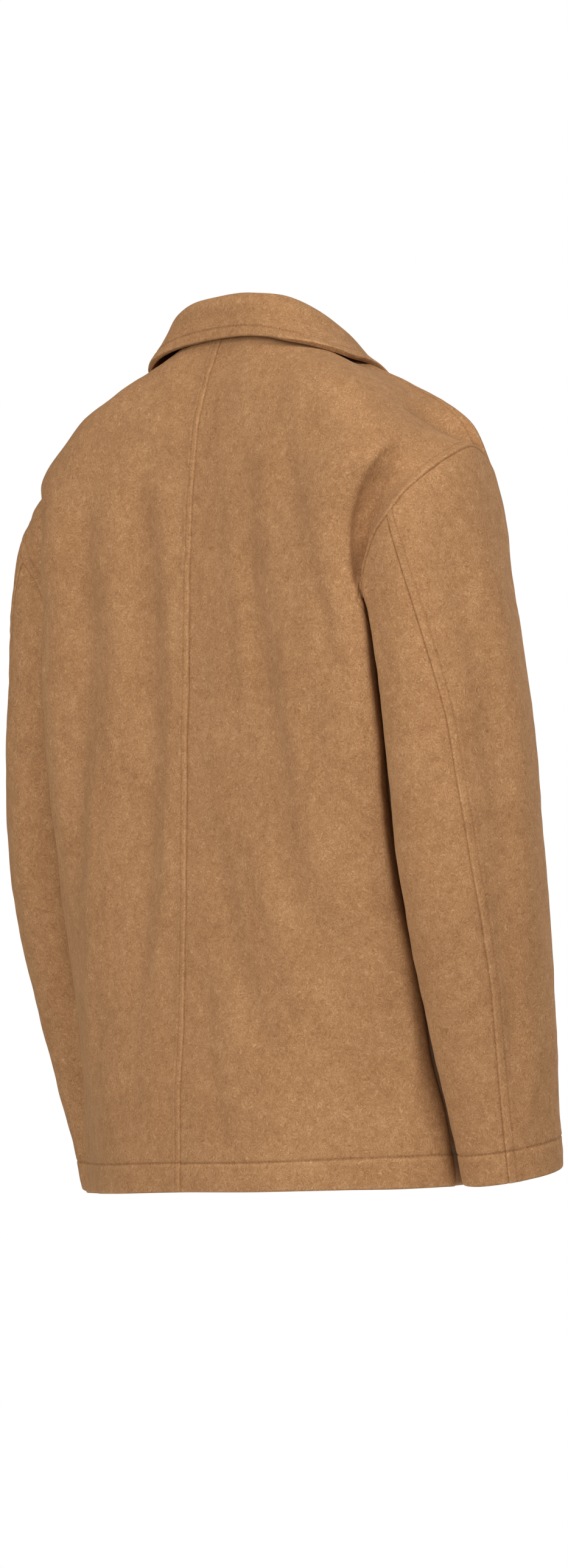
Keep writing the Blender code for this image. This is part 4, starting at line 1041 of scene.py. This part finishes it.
# ================================================================ pieces
def build_back(side, cloth, sewing, colours):
    """One half of the back with its topstitching."""
    tag = "left" if side == 1 else "right"
    levels, from_hem = body_levels(BACK, BACK_TOP, BACK_ROWS, cloth)
    near, far = marks(sewing.centre), marks(sewing.seam)
    grid, nominal, beyond = body_panel(draped(side), levels, side, False, near, far,
                                       cloth.mesh)
    out = normals_of(grid, 1.0)
    out[:, 0] = unit(out[:, 0] * (0.0, 1.0, 1.0))
    arm = smooth((levels - 4.9) / 0.3)[:, None, None]           # topstitched from here up
    centre = lapped(nominal, sewing.centre, cloth) if side == 1 else tucked(nominal, 0.4, 1.3)
    form = centre[None] + arm * lapped(beyond, sewing.seam, cloth)[None] \
        + (1.0 - arm) * tucked(beyond, cloth.roll, 1.7)[None] + turned_hem(from_hem, cloth)
    form[..., 0] += pressed(grid, BACK_CREASES[side])
    lines = [("column", grid.shape[1] - 1 - list(far).index(sewing.seam),
              int(np.searchsorted(levels, 5.05)), None),
             ("row", list(hem_marks(cloth.hem)).index(cloth.hem), 1, -1)]
    if side == 1:
        lines.insert(0, ("column", list(near).index(sewing.centre), 0, None))
    panel("back_" + tag, grid, out, form, from_hem, side, cloth, (0, -1), (),
          sewing, colours, lines)


def panel(name, grid, out, form, from_hem, side, cloth, columns, rows, sewing, colours,
          lines):
    """Finish one cloth piece: uneven surface, seam gaps, shell and stitches, attached to the root
    body.

    columns and rows name the edges that are drawn back to leave a seam gap, and lines the
    columns and rows that are stitched, each with its first and last point.
    """
    mirror = side == -1
    world = grid * (side, 1.0, 1.0)
    swell = sum(share * cloth.waviness * ripple(world, size, seed) for size, share, seed in SWELL)
    size, height, seed = PUCKER
    pucker = height * ripple(world, size, seed) * form[..., 2]
    pulled, depth = hem_wall(from_hem, cloth)
    base = grid.copy()
    for column in columns:
        step = grid[:, 1] - grid[:, 0] if column == 0 else grid[:, -2] - grid[:, -1]
        base[:, column] += unit(step) * SEAM_GAP / 2.0
    for row in rows:
        step = grid[1] - grid[0] if row == 0 else grid[-2] - grid[-1]
        base[row] += unit(step) * SEAM_GAP / 2.0
    outer = base + out * (form[..., 0] + swell + pucker - pulled)[..., None]
    inner = base + out * (swell - pulled - depth)[..., None]
    item = cloth_mesh(name + "_wool", outer, inner, form[..., 1], mirror, felted_wool(colours))
    facing = normals_of(outer, 1.0)
    facing = facing * np.sign(np.sum(facing * out, axis=-1, keepdims=True))
    runs = []
    for kind, index, first, last in lines:
        pick = (slice(first, last), index) if kind == "column" else (index, slice(first, last))
        runs.append((outer[pick], facing[pick]))
    stitches = sew(name + "_stitches", runs, mirror, sewing, spun_thread(colours))
    finish_cloth(item, name, stitches)


def build_front(side, cloth, sewing, colours):
    """One front with its overlap, turned edge and topstitching."""
    tag = "left" if side == 1 else "right"
    levels, from_hem = body_levels(FRONT, FRONT_TOP, FRONT_ROWS, cloth)
    near = far = marks(sewing.seam)
    grid, nominal, beyond = body_panel(FRONT, levels, side, True, near, far, cloth.mesh)
    if side == -1:
        underlap(grid)
    out = normals_of(grid, -1.0)
    arm = (smooth((levels - 4.9) / 0.3) * smooth((10.1 - levels) / 0.3))[:, None, None]
    form = lapped(nominal, sewing.seam, cloth)[None] \
        + arm * lapped(beyond, sewing.seam, cloth)[None] \
        + (1.0 - arm) * tucked(beyond, cloth.roll, 1.7)[None] + turned_hem(from_hem, cloth)
    form[..., 0] += pressed(grid, FRONT_CREASES[side])
    lines = [("column", list(near).index(sewing.seam), 0, -12),
             ("column", grid.shape[1] - 1 - list(far).index(sewing.seam),
              int(np.searchsorted(levels, 5.05)), int(np.searchsorted(levels, 9.95))),
             ("row", list(hem_marks(cloth.hem)).index(cloth.hem), 1, -1)]
    panel("front_" + tag, grid, out, form, from_hem, side, cloth, (-1,), (),
          sewing, colours, lines)


def build_sleeve(part, side, cloth, sewing, colours):
    """The outer or the under piece of one sleeve."""
    tag = "left" if side == 1 else "right"
    outer_piece = part == "outer"
    begin, end = ((ARM_BACK_SEAM, ARM_TOP_SEAM) if outer_piece
                  else (ARM_TOP_SEAM, ARM_LOOP + ARM_BACK_SEAM))
    near = marks(sewing.seam)
    grid, nominal, beyond, from_arm, from_hem = sleeve_panel(begin, end, side, near,
                                                             cloth.hem, cloth.mesh)
    out = normals_of(grid, -1.0)
    from_hem = from_hem[:, None]
    back_side, top_side = (nominal, beyond) if outer_piece else (beyond, nominal)
    behind = lapped(back_side, sewing.seam, cloth) if outer_piece \
        else tucked(back_side, 0.5, 1.4)
    form = behind[None] + pressed_open(top_side)[None] \
        + tucked(from_arm, 1.2, 2.0)[:, None] + turned_hem(from_hem, cloth)
    lines = [("row", len(grid) - 1 - list(hem_marks(cloth.hem)).index(cloth.hem), 1, -1)]
    if outer_piece:
        lines.append(("column", list(near).index(sewing.seam), 3, None))
    panel("sleeve_%s_%s" % (part, tag), grid, out, form, from_hem, side, cloth,
          (0, -1), (0,), sewing, colours, lines)


def resting(points, ease):
    """Lift the fall of the collar along the body's own normals until it lies on the body."""
    end = np.array([0.0])                                       # only levels the collar reaches
    back, _, _ = body_panel(BACK, np.linspace(12.0, 19.0, 90), 1, False, end, end, 2.5)
    front, _, _ = body_panel(FRONT, np.linspace(6.0, 13.0, 90), 1, True, end, end, 2.5)
    body = np.concatenate([back.reshape(-1, 3), front.reshape(-1, 3)])
    away = np.concatenate([normals_of(back, 1.0).reshape(-1, 3),
                           normals_of(front, -1.0).reshape(-1, 3)])
    tree = KDTree(len(body))
    for index, point in enumerate(body):
        tree.insert(point, index)
    tree.balance()
    nearest = np.array([tree.find(p)[1] for p in points.reshape(-1, 3)])
    nearest = nearest.reshape(points.shape[:-1])
    normal = away[nearest]
    short = COLLAR_REST - np.sum((points - body[nearest]) * normal, axis=-1, keepdims=True)
    lift = (short + np.sqrt(short * short + 4.0 * REST_SOFT ** 2)) / 2.0
    push = normal * lift * ease[:, None, None]
    for _ in range(4):                                          # evens out the small steps
        wide = np.pad(push, ((2, 2), (2, 2), (0, 0)), mode="edge")
        push = sum(wide[r:r + push.shape[0], c:c + push.shape[1]]
                   for r in range(5) for c in range(5)) / 25.0
    return points + push


def on_neck(points):
    """The nearest points of the body's own neck edge, which the collar's stand is sewn to."""
    end = np.array([0.0])
    back, _, _ = body_panel(draped(1), np.array([18.9, 19.0]), 1, False, end, end, 1.0)
    front, _, _ = body_panel(FRONT, np.array([12.9, 13.0]), 1, True, end, end, 1.0)
    line = np.concatenate([back[-1], front[-1][::-1]])
    near = np.linalg.norm(points[:, None] - line[None], axis=2).argmin(axis=1)
    first = line[np.maximum(near - 1, 0)]
    chord = line[np.minimum(near + 1, len(line) - 1)] - first
    share = np.sum((points - first) * chord, axis=1) / np.sum(chord * chord, axis=1)
    return first + chord * np.clip(share, 0.0, 1.0)[:, None]


def collar_rows(near):
    """Middle line of the collar from the neck seam, over its fold, to its lower edge."""
    end = COLLAR[-1, 0]
    close = near / COLLAR_SPAN
    places = np.concatenate([np.arange(0.0, end - close[-1] - 0.05, COLLAR_STEP),
                             end - close[::-1]])
    mirrored = np.vstack([COLLAR[1:3][::-1] * ([-1.0] + [-1.0, 1.0, 1.0] * 3), COLLAR])
    lines = spline(mirrored[:, 0], mirrored[:, 1:], places)
    seam, fold, edge = on_neck(lines[:, 0:3]), lines[:, 3:6], lines[:, 6:9]
    along = spline(mirrored[:, 0], mirrored[:, 1:4], places + 0.02) \
        - spline(mirrored[:, 0], mirrored[:, 1:4], places - 0.02)
    out = unit(np.column_stack([-along[:, 1], along[:, 0], np.zeros(len(along))]))
    up = np.array([0.0, 0.0, 1.0])
    fall = unit(edge - fold)
    high = fold[:, 2:3] - seam[:, 2:3]
    paths = np.stack([
        seam - out * STAND_IN + up * SEAM_GAP,
        seam * 0.65 + fold * 0.35 - out * (FOLD_HALF + STAND_IN) / 2.0,
        fold - out * FOLD_HALF - up * np.minimum(FOLD_HALF, high * 0.4),
        fold,
        fold + out * FOLD_HALF * 0.8 + fall * FOLD_HALF,
        (fold + edge) / 2.0 + out * 2.5,
        edge,
    ])
    half = []
    for path in paths.transpose(1, 0, 2):
        reach = lengths(path)
        at = np.concatenate([
            np.linspace(0.0, reach[2], STAND_ROWS + 1)[:-1],
            np.linspace(reach[2], reach[4], FOLD_ROWS + 1)[:-1],
            spread(np.array([0.0]), reach[-1] - reach[4], near, FALL_ROWS) + reach[4]])
        half.append(spline(reach, path, at))
    half = np.array(half).transpose(1, 0, 2)
    start = STAND_ROWS + FOLD_ROWS
    ease = smooth(np.arange(len(half) - start) / 6.0)
    half = np.concatenate([half[:start], resting(half[start:], ease)])
    return np.concatenate([half[:, :0:-1] * (-1.0, 1.0, 1.0), half], axis=1)


def build_collar(cloth, sewing, colours):
    """Upper and under collar: a stand round the neck and a fall turned down over it."""
    near = marks(sewing.collar)
    whole = collar_rows(near)
    out = normals_of(whole, -1.0)
    out[0] = unit(out[0] * (1.0, 1.0, 0.0))
    rows, cols = whole.shape[:2]
    from_edge = np.concatenate([np.full(rows - len(near), FAR), near[::-1]])[:, None]
    from_front = np.concatenate([near, np.full(cols - 2 * len(near), FAR), near[::-1]])[None]
    nearest = np.minimum(from_edge, from_front)
    relief = 0.45 * (1.0 - smooth((nearest - sewing.collar - 0.5) / 4.0)) \
        - 1.1 * hump(nearest, 0.0, 0.9) - cloth.dimple * hump(nearest, sewing.collar, 0.9) \
        + COLLAR_PUCKER * ripple(whole, PUCKER[0], PUCKER[2]) * hump(nearest, sewing.collar, 4.0)
    # lighter along the worn edge; painted shade in the stitch groove and on the very edge
    rub = 0.6 * hump(nearest, 1.0, 0.9) - 1.5 * hump(nearest, sewing.collar, 0.65) \
        - 0.5 * hump(nearest, 0.0, 0.4)
    size, share, seed = COLLAR_SWELL
    swell = share * cloth.waviness * ripple(whole, size, seed)
    outer = whole + out * (relief + swell)[..., None]
    wool = felted_wool(colours)
    upper = cloth_mesh("upper_collar_wool", outer,
                       whole + out * (swell - cloth.thickness)[..., None], rub, False, wool)
    row, column = rows - 1 - list(near).index(sewing.collar), list(near).index(sewing.collar)
    first = STAND_ROWS + FOLD_ROWS + 6                          # the ends' stitches start here
    facing = normals_of(outer, -1.0)
    runs = [(outer[pick], facing[pick]) for pick in (
        (row, slice(column, cols - column)),
        (slice(first, row), column),
        (slice(first, row), cols - 1 - column))]
    stitches = sew("upper_collar_stitches", runs, False, sewing, spun_thread(colours))
    finish_cloth(upper, "upper_collar", stitches)

    second = whole + out * (swell - cloth.thickness - SEAM_GAP)[..., None]
    second[-1] += unit(second[-2] - second[-1]) * UNDER_INSET
    second[:, 0] += unit(second[:, 1] - second[:, 0]) * UNDER_INSET
    second[:, -1] += unit(second[:, -2] - second[:, -1]) * UNDER_INSET
    thinned = 0.5 * hump(nearest, 0.0, 0.9)                     # towards its edges
    under = cloth_mesh("under_collar_wool", second,
                       second - out * (cloth.thickness - thinned)[..., None],
                       0.0 * thinned, False, wool)
    finish_cloth(under, "under_collar", None)


def button_mesh(hole=1.15, spacing=2.5, segments=56, sides=16):
    """A turned four-hole button: raised rim, dished middle, drilled holes."""
    # radius and height along its turned outline
    profile = ((0.0, 0.0), (8.2, 0.0), (9.4, 0.35), (10.0, 1.2), (10.0, 2.4), (9.7, 3.1),
               (9.1, 3.55), (8.4, 3.6), (7.7, 3.35), (7.1, 2.85), (6.2, 2.55), (3.4, 2.4),
               (0.0, 2.35))
    mesh = bpy.data.meshes.new("button_turned")
    points, faces = [], []
    for r, h in profile[1:-1]:
        for k in range(segments):
            a = 2.0 * math.pi * k / segments
            points.append((r * math.cos(a), r * math.sin(a), h))
    count = len(profile) - 2
    for level in range(count - 1):
        for k in range(segments):
            a, b = level * segments + k, level * segments + (k + 1) % segments
            faces.append((a, b, b + segments, a + segments))
    points += [(0.0, 0.0, 0.0), (0.0, 0.0, profile[-1][1])]
    bottom, top = len(points) - 2, len(points) - 1
    for k in range(segments):
        faces.append(((k + 1) % segments, k, bottom))
        last = (count - 1) * segments
        faces.append((last + k, last + (k + 1) % segments, top))
    mesh.from_pydata(points, [], faces)
    disc = bpy.data.objects.new("button_turned", mesh)
    bpy.context.scene.collection.objects.link(disc)
    drill = bpy.data.meshes.new("button_drill")
    points, faces = [], []
    for x in (-spacing / 2, spacing / 2):
        for y in (-spacing / 2, spacing / 2):
            first = len(points)
            for h in (-1.0, 4.6):                               # right through the disc
                for k in range(sides):
                    a = 2.0 * math.pi * k / sides
                    points.append((x + hole * 0.5 * math.cos(a),
                                   y + hole * 0.5 * math.sin(a), h))
            for k in range(sides):
                a, b = first + k, first + (k + 1) % sides
                faces.append((a, b, b + sides, a + sides))
            faces.append(tuple(first + k for k in range(sides))[::-1])
            faces.append(tuple(first + sides + k for k in range(sides)))
    drill.from_pydata(points, [], faces)
    bit = bpy.data.objects.new("button_drill", drill)
    bpy.context.scene.collection.objects.link(bit)
    cut = disc.modifiers.new("Holes", "BOOLEAN")
    cut.object, cut.operation, cut.solver = bit, "DIFFERENCE", "EXACT"
    graph = bpy.context.evaluated_depsgraph_get()
    made = bpy.data.meshes.new_from_object(disc.evaluated_get(graph), depsgraph=graph)
    bpy.data.objects.remove(disc, do_unlink=True)
    bpy.data.objects.remove(bit, do_unlink=True)
    return made


def build_buttons(sewing, colours):
    """Five horn buttons down the centre front, each sewn on with a cross of thread."""
    rows = spline(FRONT[:, 0], FRONT[:, 1:3], np.linspace(0.0, 13.0, 400))
    order = np.argsort(rows[:, 1])
    heights, depths = rows[order, 1], rows[order, 0]
    turned = button_mesh()
    horn, thread = polished_horn(colours), spun_thread(colours)
    for number, z in enumerate(BUTTON_Z):
        y = np.interp(z, heights, depths)
        up = unit(np.array([0.0, np.interp(z + 10.0, heights, depths) - y, 10.0]))
        across = np.array([1.0, 0.0, 0.0])
        out = np.cross(across, up)
        centre = np.array([0.0, y, z]) + out * BUTTON_LIFT
        turn = 0.35 * (number - 2) + 0.1                        # no two are turned alike
        first = across * math.cos(turn) + up * math.sin(turn)
        second = -across * math.sin(turn) + up * math.cos(turn)
        name = "button_%d" % (number + 1)
        mesh = turned.copy()
        local = np.array([v.co for v in mesh.vertices])
        points = placed(centre + local[:, :1] * first + local[:, 1:2] * second
                        + local[:, 2:] * out, False)
        mesh.vertices.foreach_set("co", points.astype(np.float32).ravel())
        mesh.materials.clear()
        mesh.materials.append(horn)
        mesh.polygons.foreach_set("use_smooth", np.ones(len(mesh.polygons), bool))
        mesh.set_sharp_from_angle(angle=math.radians(40.0))
        mesh.update()
        item = bpy.data.objects.new(name + "_horn", mesh)
        bpy.context.scene.collection.objects.link(item)
        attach(item, "root")
        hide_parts(name)
        runs = []
        line = np.linspace(-1.9, 1.9, 9)[:, None]
        for sign in (-1.0, 1.0):                                # two crossing pairs of strands
            way, aside = unit(first + sign * second), unit(first - sign * second)
            arch = 2.75 - 0.10 * line ** 2 + (0.25 if sign > 0 else 0.0)
            for strand in (-0.22, 0.22):
                runs.append((centre + way * line + aside * strand + out * arch,
                             np.repeat(out[None], len(line), axis=0)))
        knot = sew(name + "_thread", runs, False, sewing, thread)
        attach(knot, "root")
    bpy.data.meshes.remove(turned)


# ================================================================ studio
def area_light(name, turn, rise, power):
    """A large soft light round the jacket, turned to its middle."""
    turn, rise = math.radians(turn), math.radians(rise)
    out = Vector((math.sin(turn) * math.cos(rise), -math.cos(turn) * math.cos(rise),
                  math.sin(rise)))
    data = bpy.data.lights.new(name, "AREA")
    data.shape, data.size, data.energy = "DISK", LIGHT_SIZE, power
    lamp = bpy.data.objects.new(name, data)
    bpy.context.scene.collection.objects.link(lamp)
    lamp.location = Vector((0.0, 0.0, LIGHT_AIM)) + out * LIGHT_DISTANCE
    lamp.rotation_euler = out.to_track_quat("Z", "Y").to_euler()


def build_stage(studio):
    """Pale floor, soft lights and the camera behind the jacket's right shoulder."""
    scene = bpy.context.scene
    world = bpy.data.worlds.new("pale studio")
    scene.world = world
    world.use_nodes = True
    tree = world.node_tree
    # the surround is white to the eye, and lights the jacket less than it looks
    seen = add(tree, "ShaderNodeLightPath").outputs["Is Camera Ray"]
    strength = add(tree, "ShaderNodeMapRange", {"To Min": studio.world, "To Max": 1.0},
                   {"Value": seen})
    sky = tree.nodes["Background"]
    sky.inputs["Color"].default_value = (1.0, 1.0, 1.0, 1.0)
    tree.links.new(strength.outputs["Result"], sky.inputs["Strength"])
    scene.view_settings.view_transform = "Standard"
    for name, turn, rise in LIGHTS:
        area_light(name, turn, rise, getattr(studio, name))

    sides = 96
    rim = [2.0 * math.pi * k / sides for k in range(sides)]
    points = [(0.0, 0.0, studio.floor)]
    points += [(FLOOR_RADIUS * math.cos(a), FLOOR_RADIUS * math.sin(a), studio.floor) for a in rim]
    faces = [(0, 1 + k, 1 + (k + 1) % sides) for k in range(sides)]
    mesh = bpy.data.meshes.new("studio_floor")
    mesh.from_pydata(points, [], faces)
    floor = bpy.data.objects.new("studio_floor", mesh)
    scene.collection.objects.link(floor)
    material, tree, shader = new_material("matt painted floor")
    speck = add(tree, "ShaderNodeTexNoise", {"Scale": 3.0, "Detail": 2.0})
    ramp = add(tree, "ShaderNodeValToRGB", None, {"Fac": speck.outputs["Fac"]})
    ramp.color_ramp.elements[0].color = (*linear("E9E7E4"), 1.0)
    ramp.color_ramp.elements[1].color = (*linear("F0EFED"), 1.0)
    tree.links.new(ramp.outputs["Color"], shader.inputs["Base Color"])
    shader.inputs["Roughness"].default_value = 0.85
    mesh.materials.append(material)

    data = bpy.data.cameras.new("camera")
    data.lens, data.sensor_width, data.sensor_fit = LENS, SENSOR, "AUTO"
    camera = bpy.data.objects.new("camera", data)
    scene.collection.objects.link(camera)
    turn, roll = math.radians(CAMERA_TURN), math.radians(CAMERA_ROLL)
    back = Vector((math.sin(turn), -math.cos(turn), 0.0))
    place = Vector((0.0, 0.0, CAMERA_HEIGHT)) + back * CAMERA_DISTANCE
    camera.matrix_world = Matrix.Translation(place) @ back.to_track_quat("Z", "Y").to_matrix() \
        .to_4x4() @ Matrix.Rotation(-roll, 4, "Z")
    scene.camera = camera


# ================================================================ operators
class JACKET_OT_backs(bpy.types.Operator):
    """Make both halves of the back"""
    bl_idname = "jacket.backs"
    bl_label = "Back"

    def execute(self, context):
        scene = context.scene
        for side in (1, -1):
            build_back(side, scene.jacket_cloth, scene.jacket_sewing, scene.jacket_colours)
        return {"FINISHED"}


class JACKET_OT_fronts(bpy.types.Operator):
    """Make both fronts"""
    bl_idname = "jacket.fronts"
    bl_label = "Fronts"

    def execute(self, context):
        scene = context.scene
        for side in (1, -1):
            build_front(side, scene.jacket_cloth, scene.jacket_sewing, scene.jacket_colours)
        return {"FINISHED"}


class JACKET_OT_sleeves(bpy.types.Operator):
    """Make the outer and under pieces of both sleeves"""
    bl_idname = "jacket.sleeves"
    bl_label = "Sleeves"

    def execute(self, context):
        scene = context.scene
        for side in (1, -1):
            for part in ("outer", "under"):
                build_sleeve(part, side, scene.jacket_cloth, scene.jacket_sewing,
                             scene.jacket_colours)
        return {"FINISHED"}


class JACKET_OT_collar(bpy.types.Operator):
    """Make the upper and the under collar"""
    bl_idname = "jacket.collar"
    bl_label = "Collar"

    def execute(self, context):
        scene = context.scene
        build_collar(scene.jacket_cloth, scene.jacket_sewing, scene.jacket_colours)
        return {"FINISHED"}


class JACKET_OT_buttons(bpy.types.Operator):
    """Make the buttons and the thread that holds them"""
    bl_idname = "jacket.buttons"
    bl_label = "Buttons"

    def execute(self, context):
        scene = context.scene
        build_buttons(scene.jacket_sewing, scene.jacket_colours)
        return {"FINISHED"}


class JACKET_OT_stage(bpy.types.Operator):
    """Make the floor, the lights and the camera"""
    bl_idname = "jacket.stage"
    bl_label = "Stage"

    def execute(self, context):
        build_stage(context.scene.jacket_studio)
        return {"FINISHED"}


class JACKET_PT_panel(bpy.types.Panel):
    """Lists the pieces of the jacket and their settings"""
    bl_label = "Jacket"
    bl_idname = "JACKET_PT_panel"
    bl_space_type = "VIEW_3D"
    bl_region_type = "UI"
    bl_category = "Jacket"

    def draw(self, context):
        for operator in OPERATORS:
            self.layout.operator(operator.bl_idname)
        for key, group in GROUPS:
            box = self.layout.box()
            for field in group.__annotations__:
                box.prop(getattr(context.scene, key), field)


GROUPS = (("jacket_cloth", JACKET_PG_cloth), ("jacket_sewing", JACKET_PG_sewing),
          ("jacket_colours", JACKET_PG_colours), ("jacket_studio", JACKET_PG_studio))
OPERATORS = (JACKET_OT_backs, JACKET_OT_fronts, JACKET_OT_sleeves, JACKET_OT_collar,
             JACKET_OT_buttons, JACKET_OT_stage)


def register():
    """Add the classes and the jacket's settings to Blender."""
    for key, group in GROUPS:
        bpy.utils.register_class(group)
        setattr(bpy.types.Scene, key, bpy.props.PointerProperty(type=group))
    for operator in OPERATORS:
        bpy.utils.register_class(operator)
    bpy.utils.register_class(JACKET_PT_panel)


def unregister():
    """Take them away again."""
    bpy.utils.unregister_class(JACKET_PT_panel)
    for operator in reversed(OPERATORS):
        bpy.utils.unregister_class(operator)
    for key, group in reversed(GROUPS):
        delattr(bpy.types.Scene, key)
        bpy.utils.unregister_class(group)


def main():
    """Build the whole jacket and its studio."""
    register()
    for make in (bpy.ops.jacket.backs, bpy.ops.jacket.fronts, bpy.ops.jacket.sleeves,
                 bpy.ops.jacket.collar, bpy.ops.jacket.buttons, bpy.ops.jacket.stage):
        make()


if __name__ == "__main__":
    main()
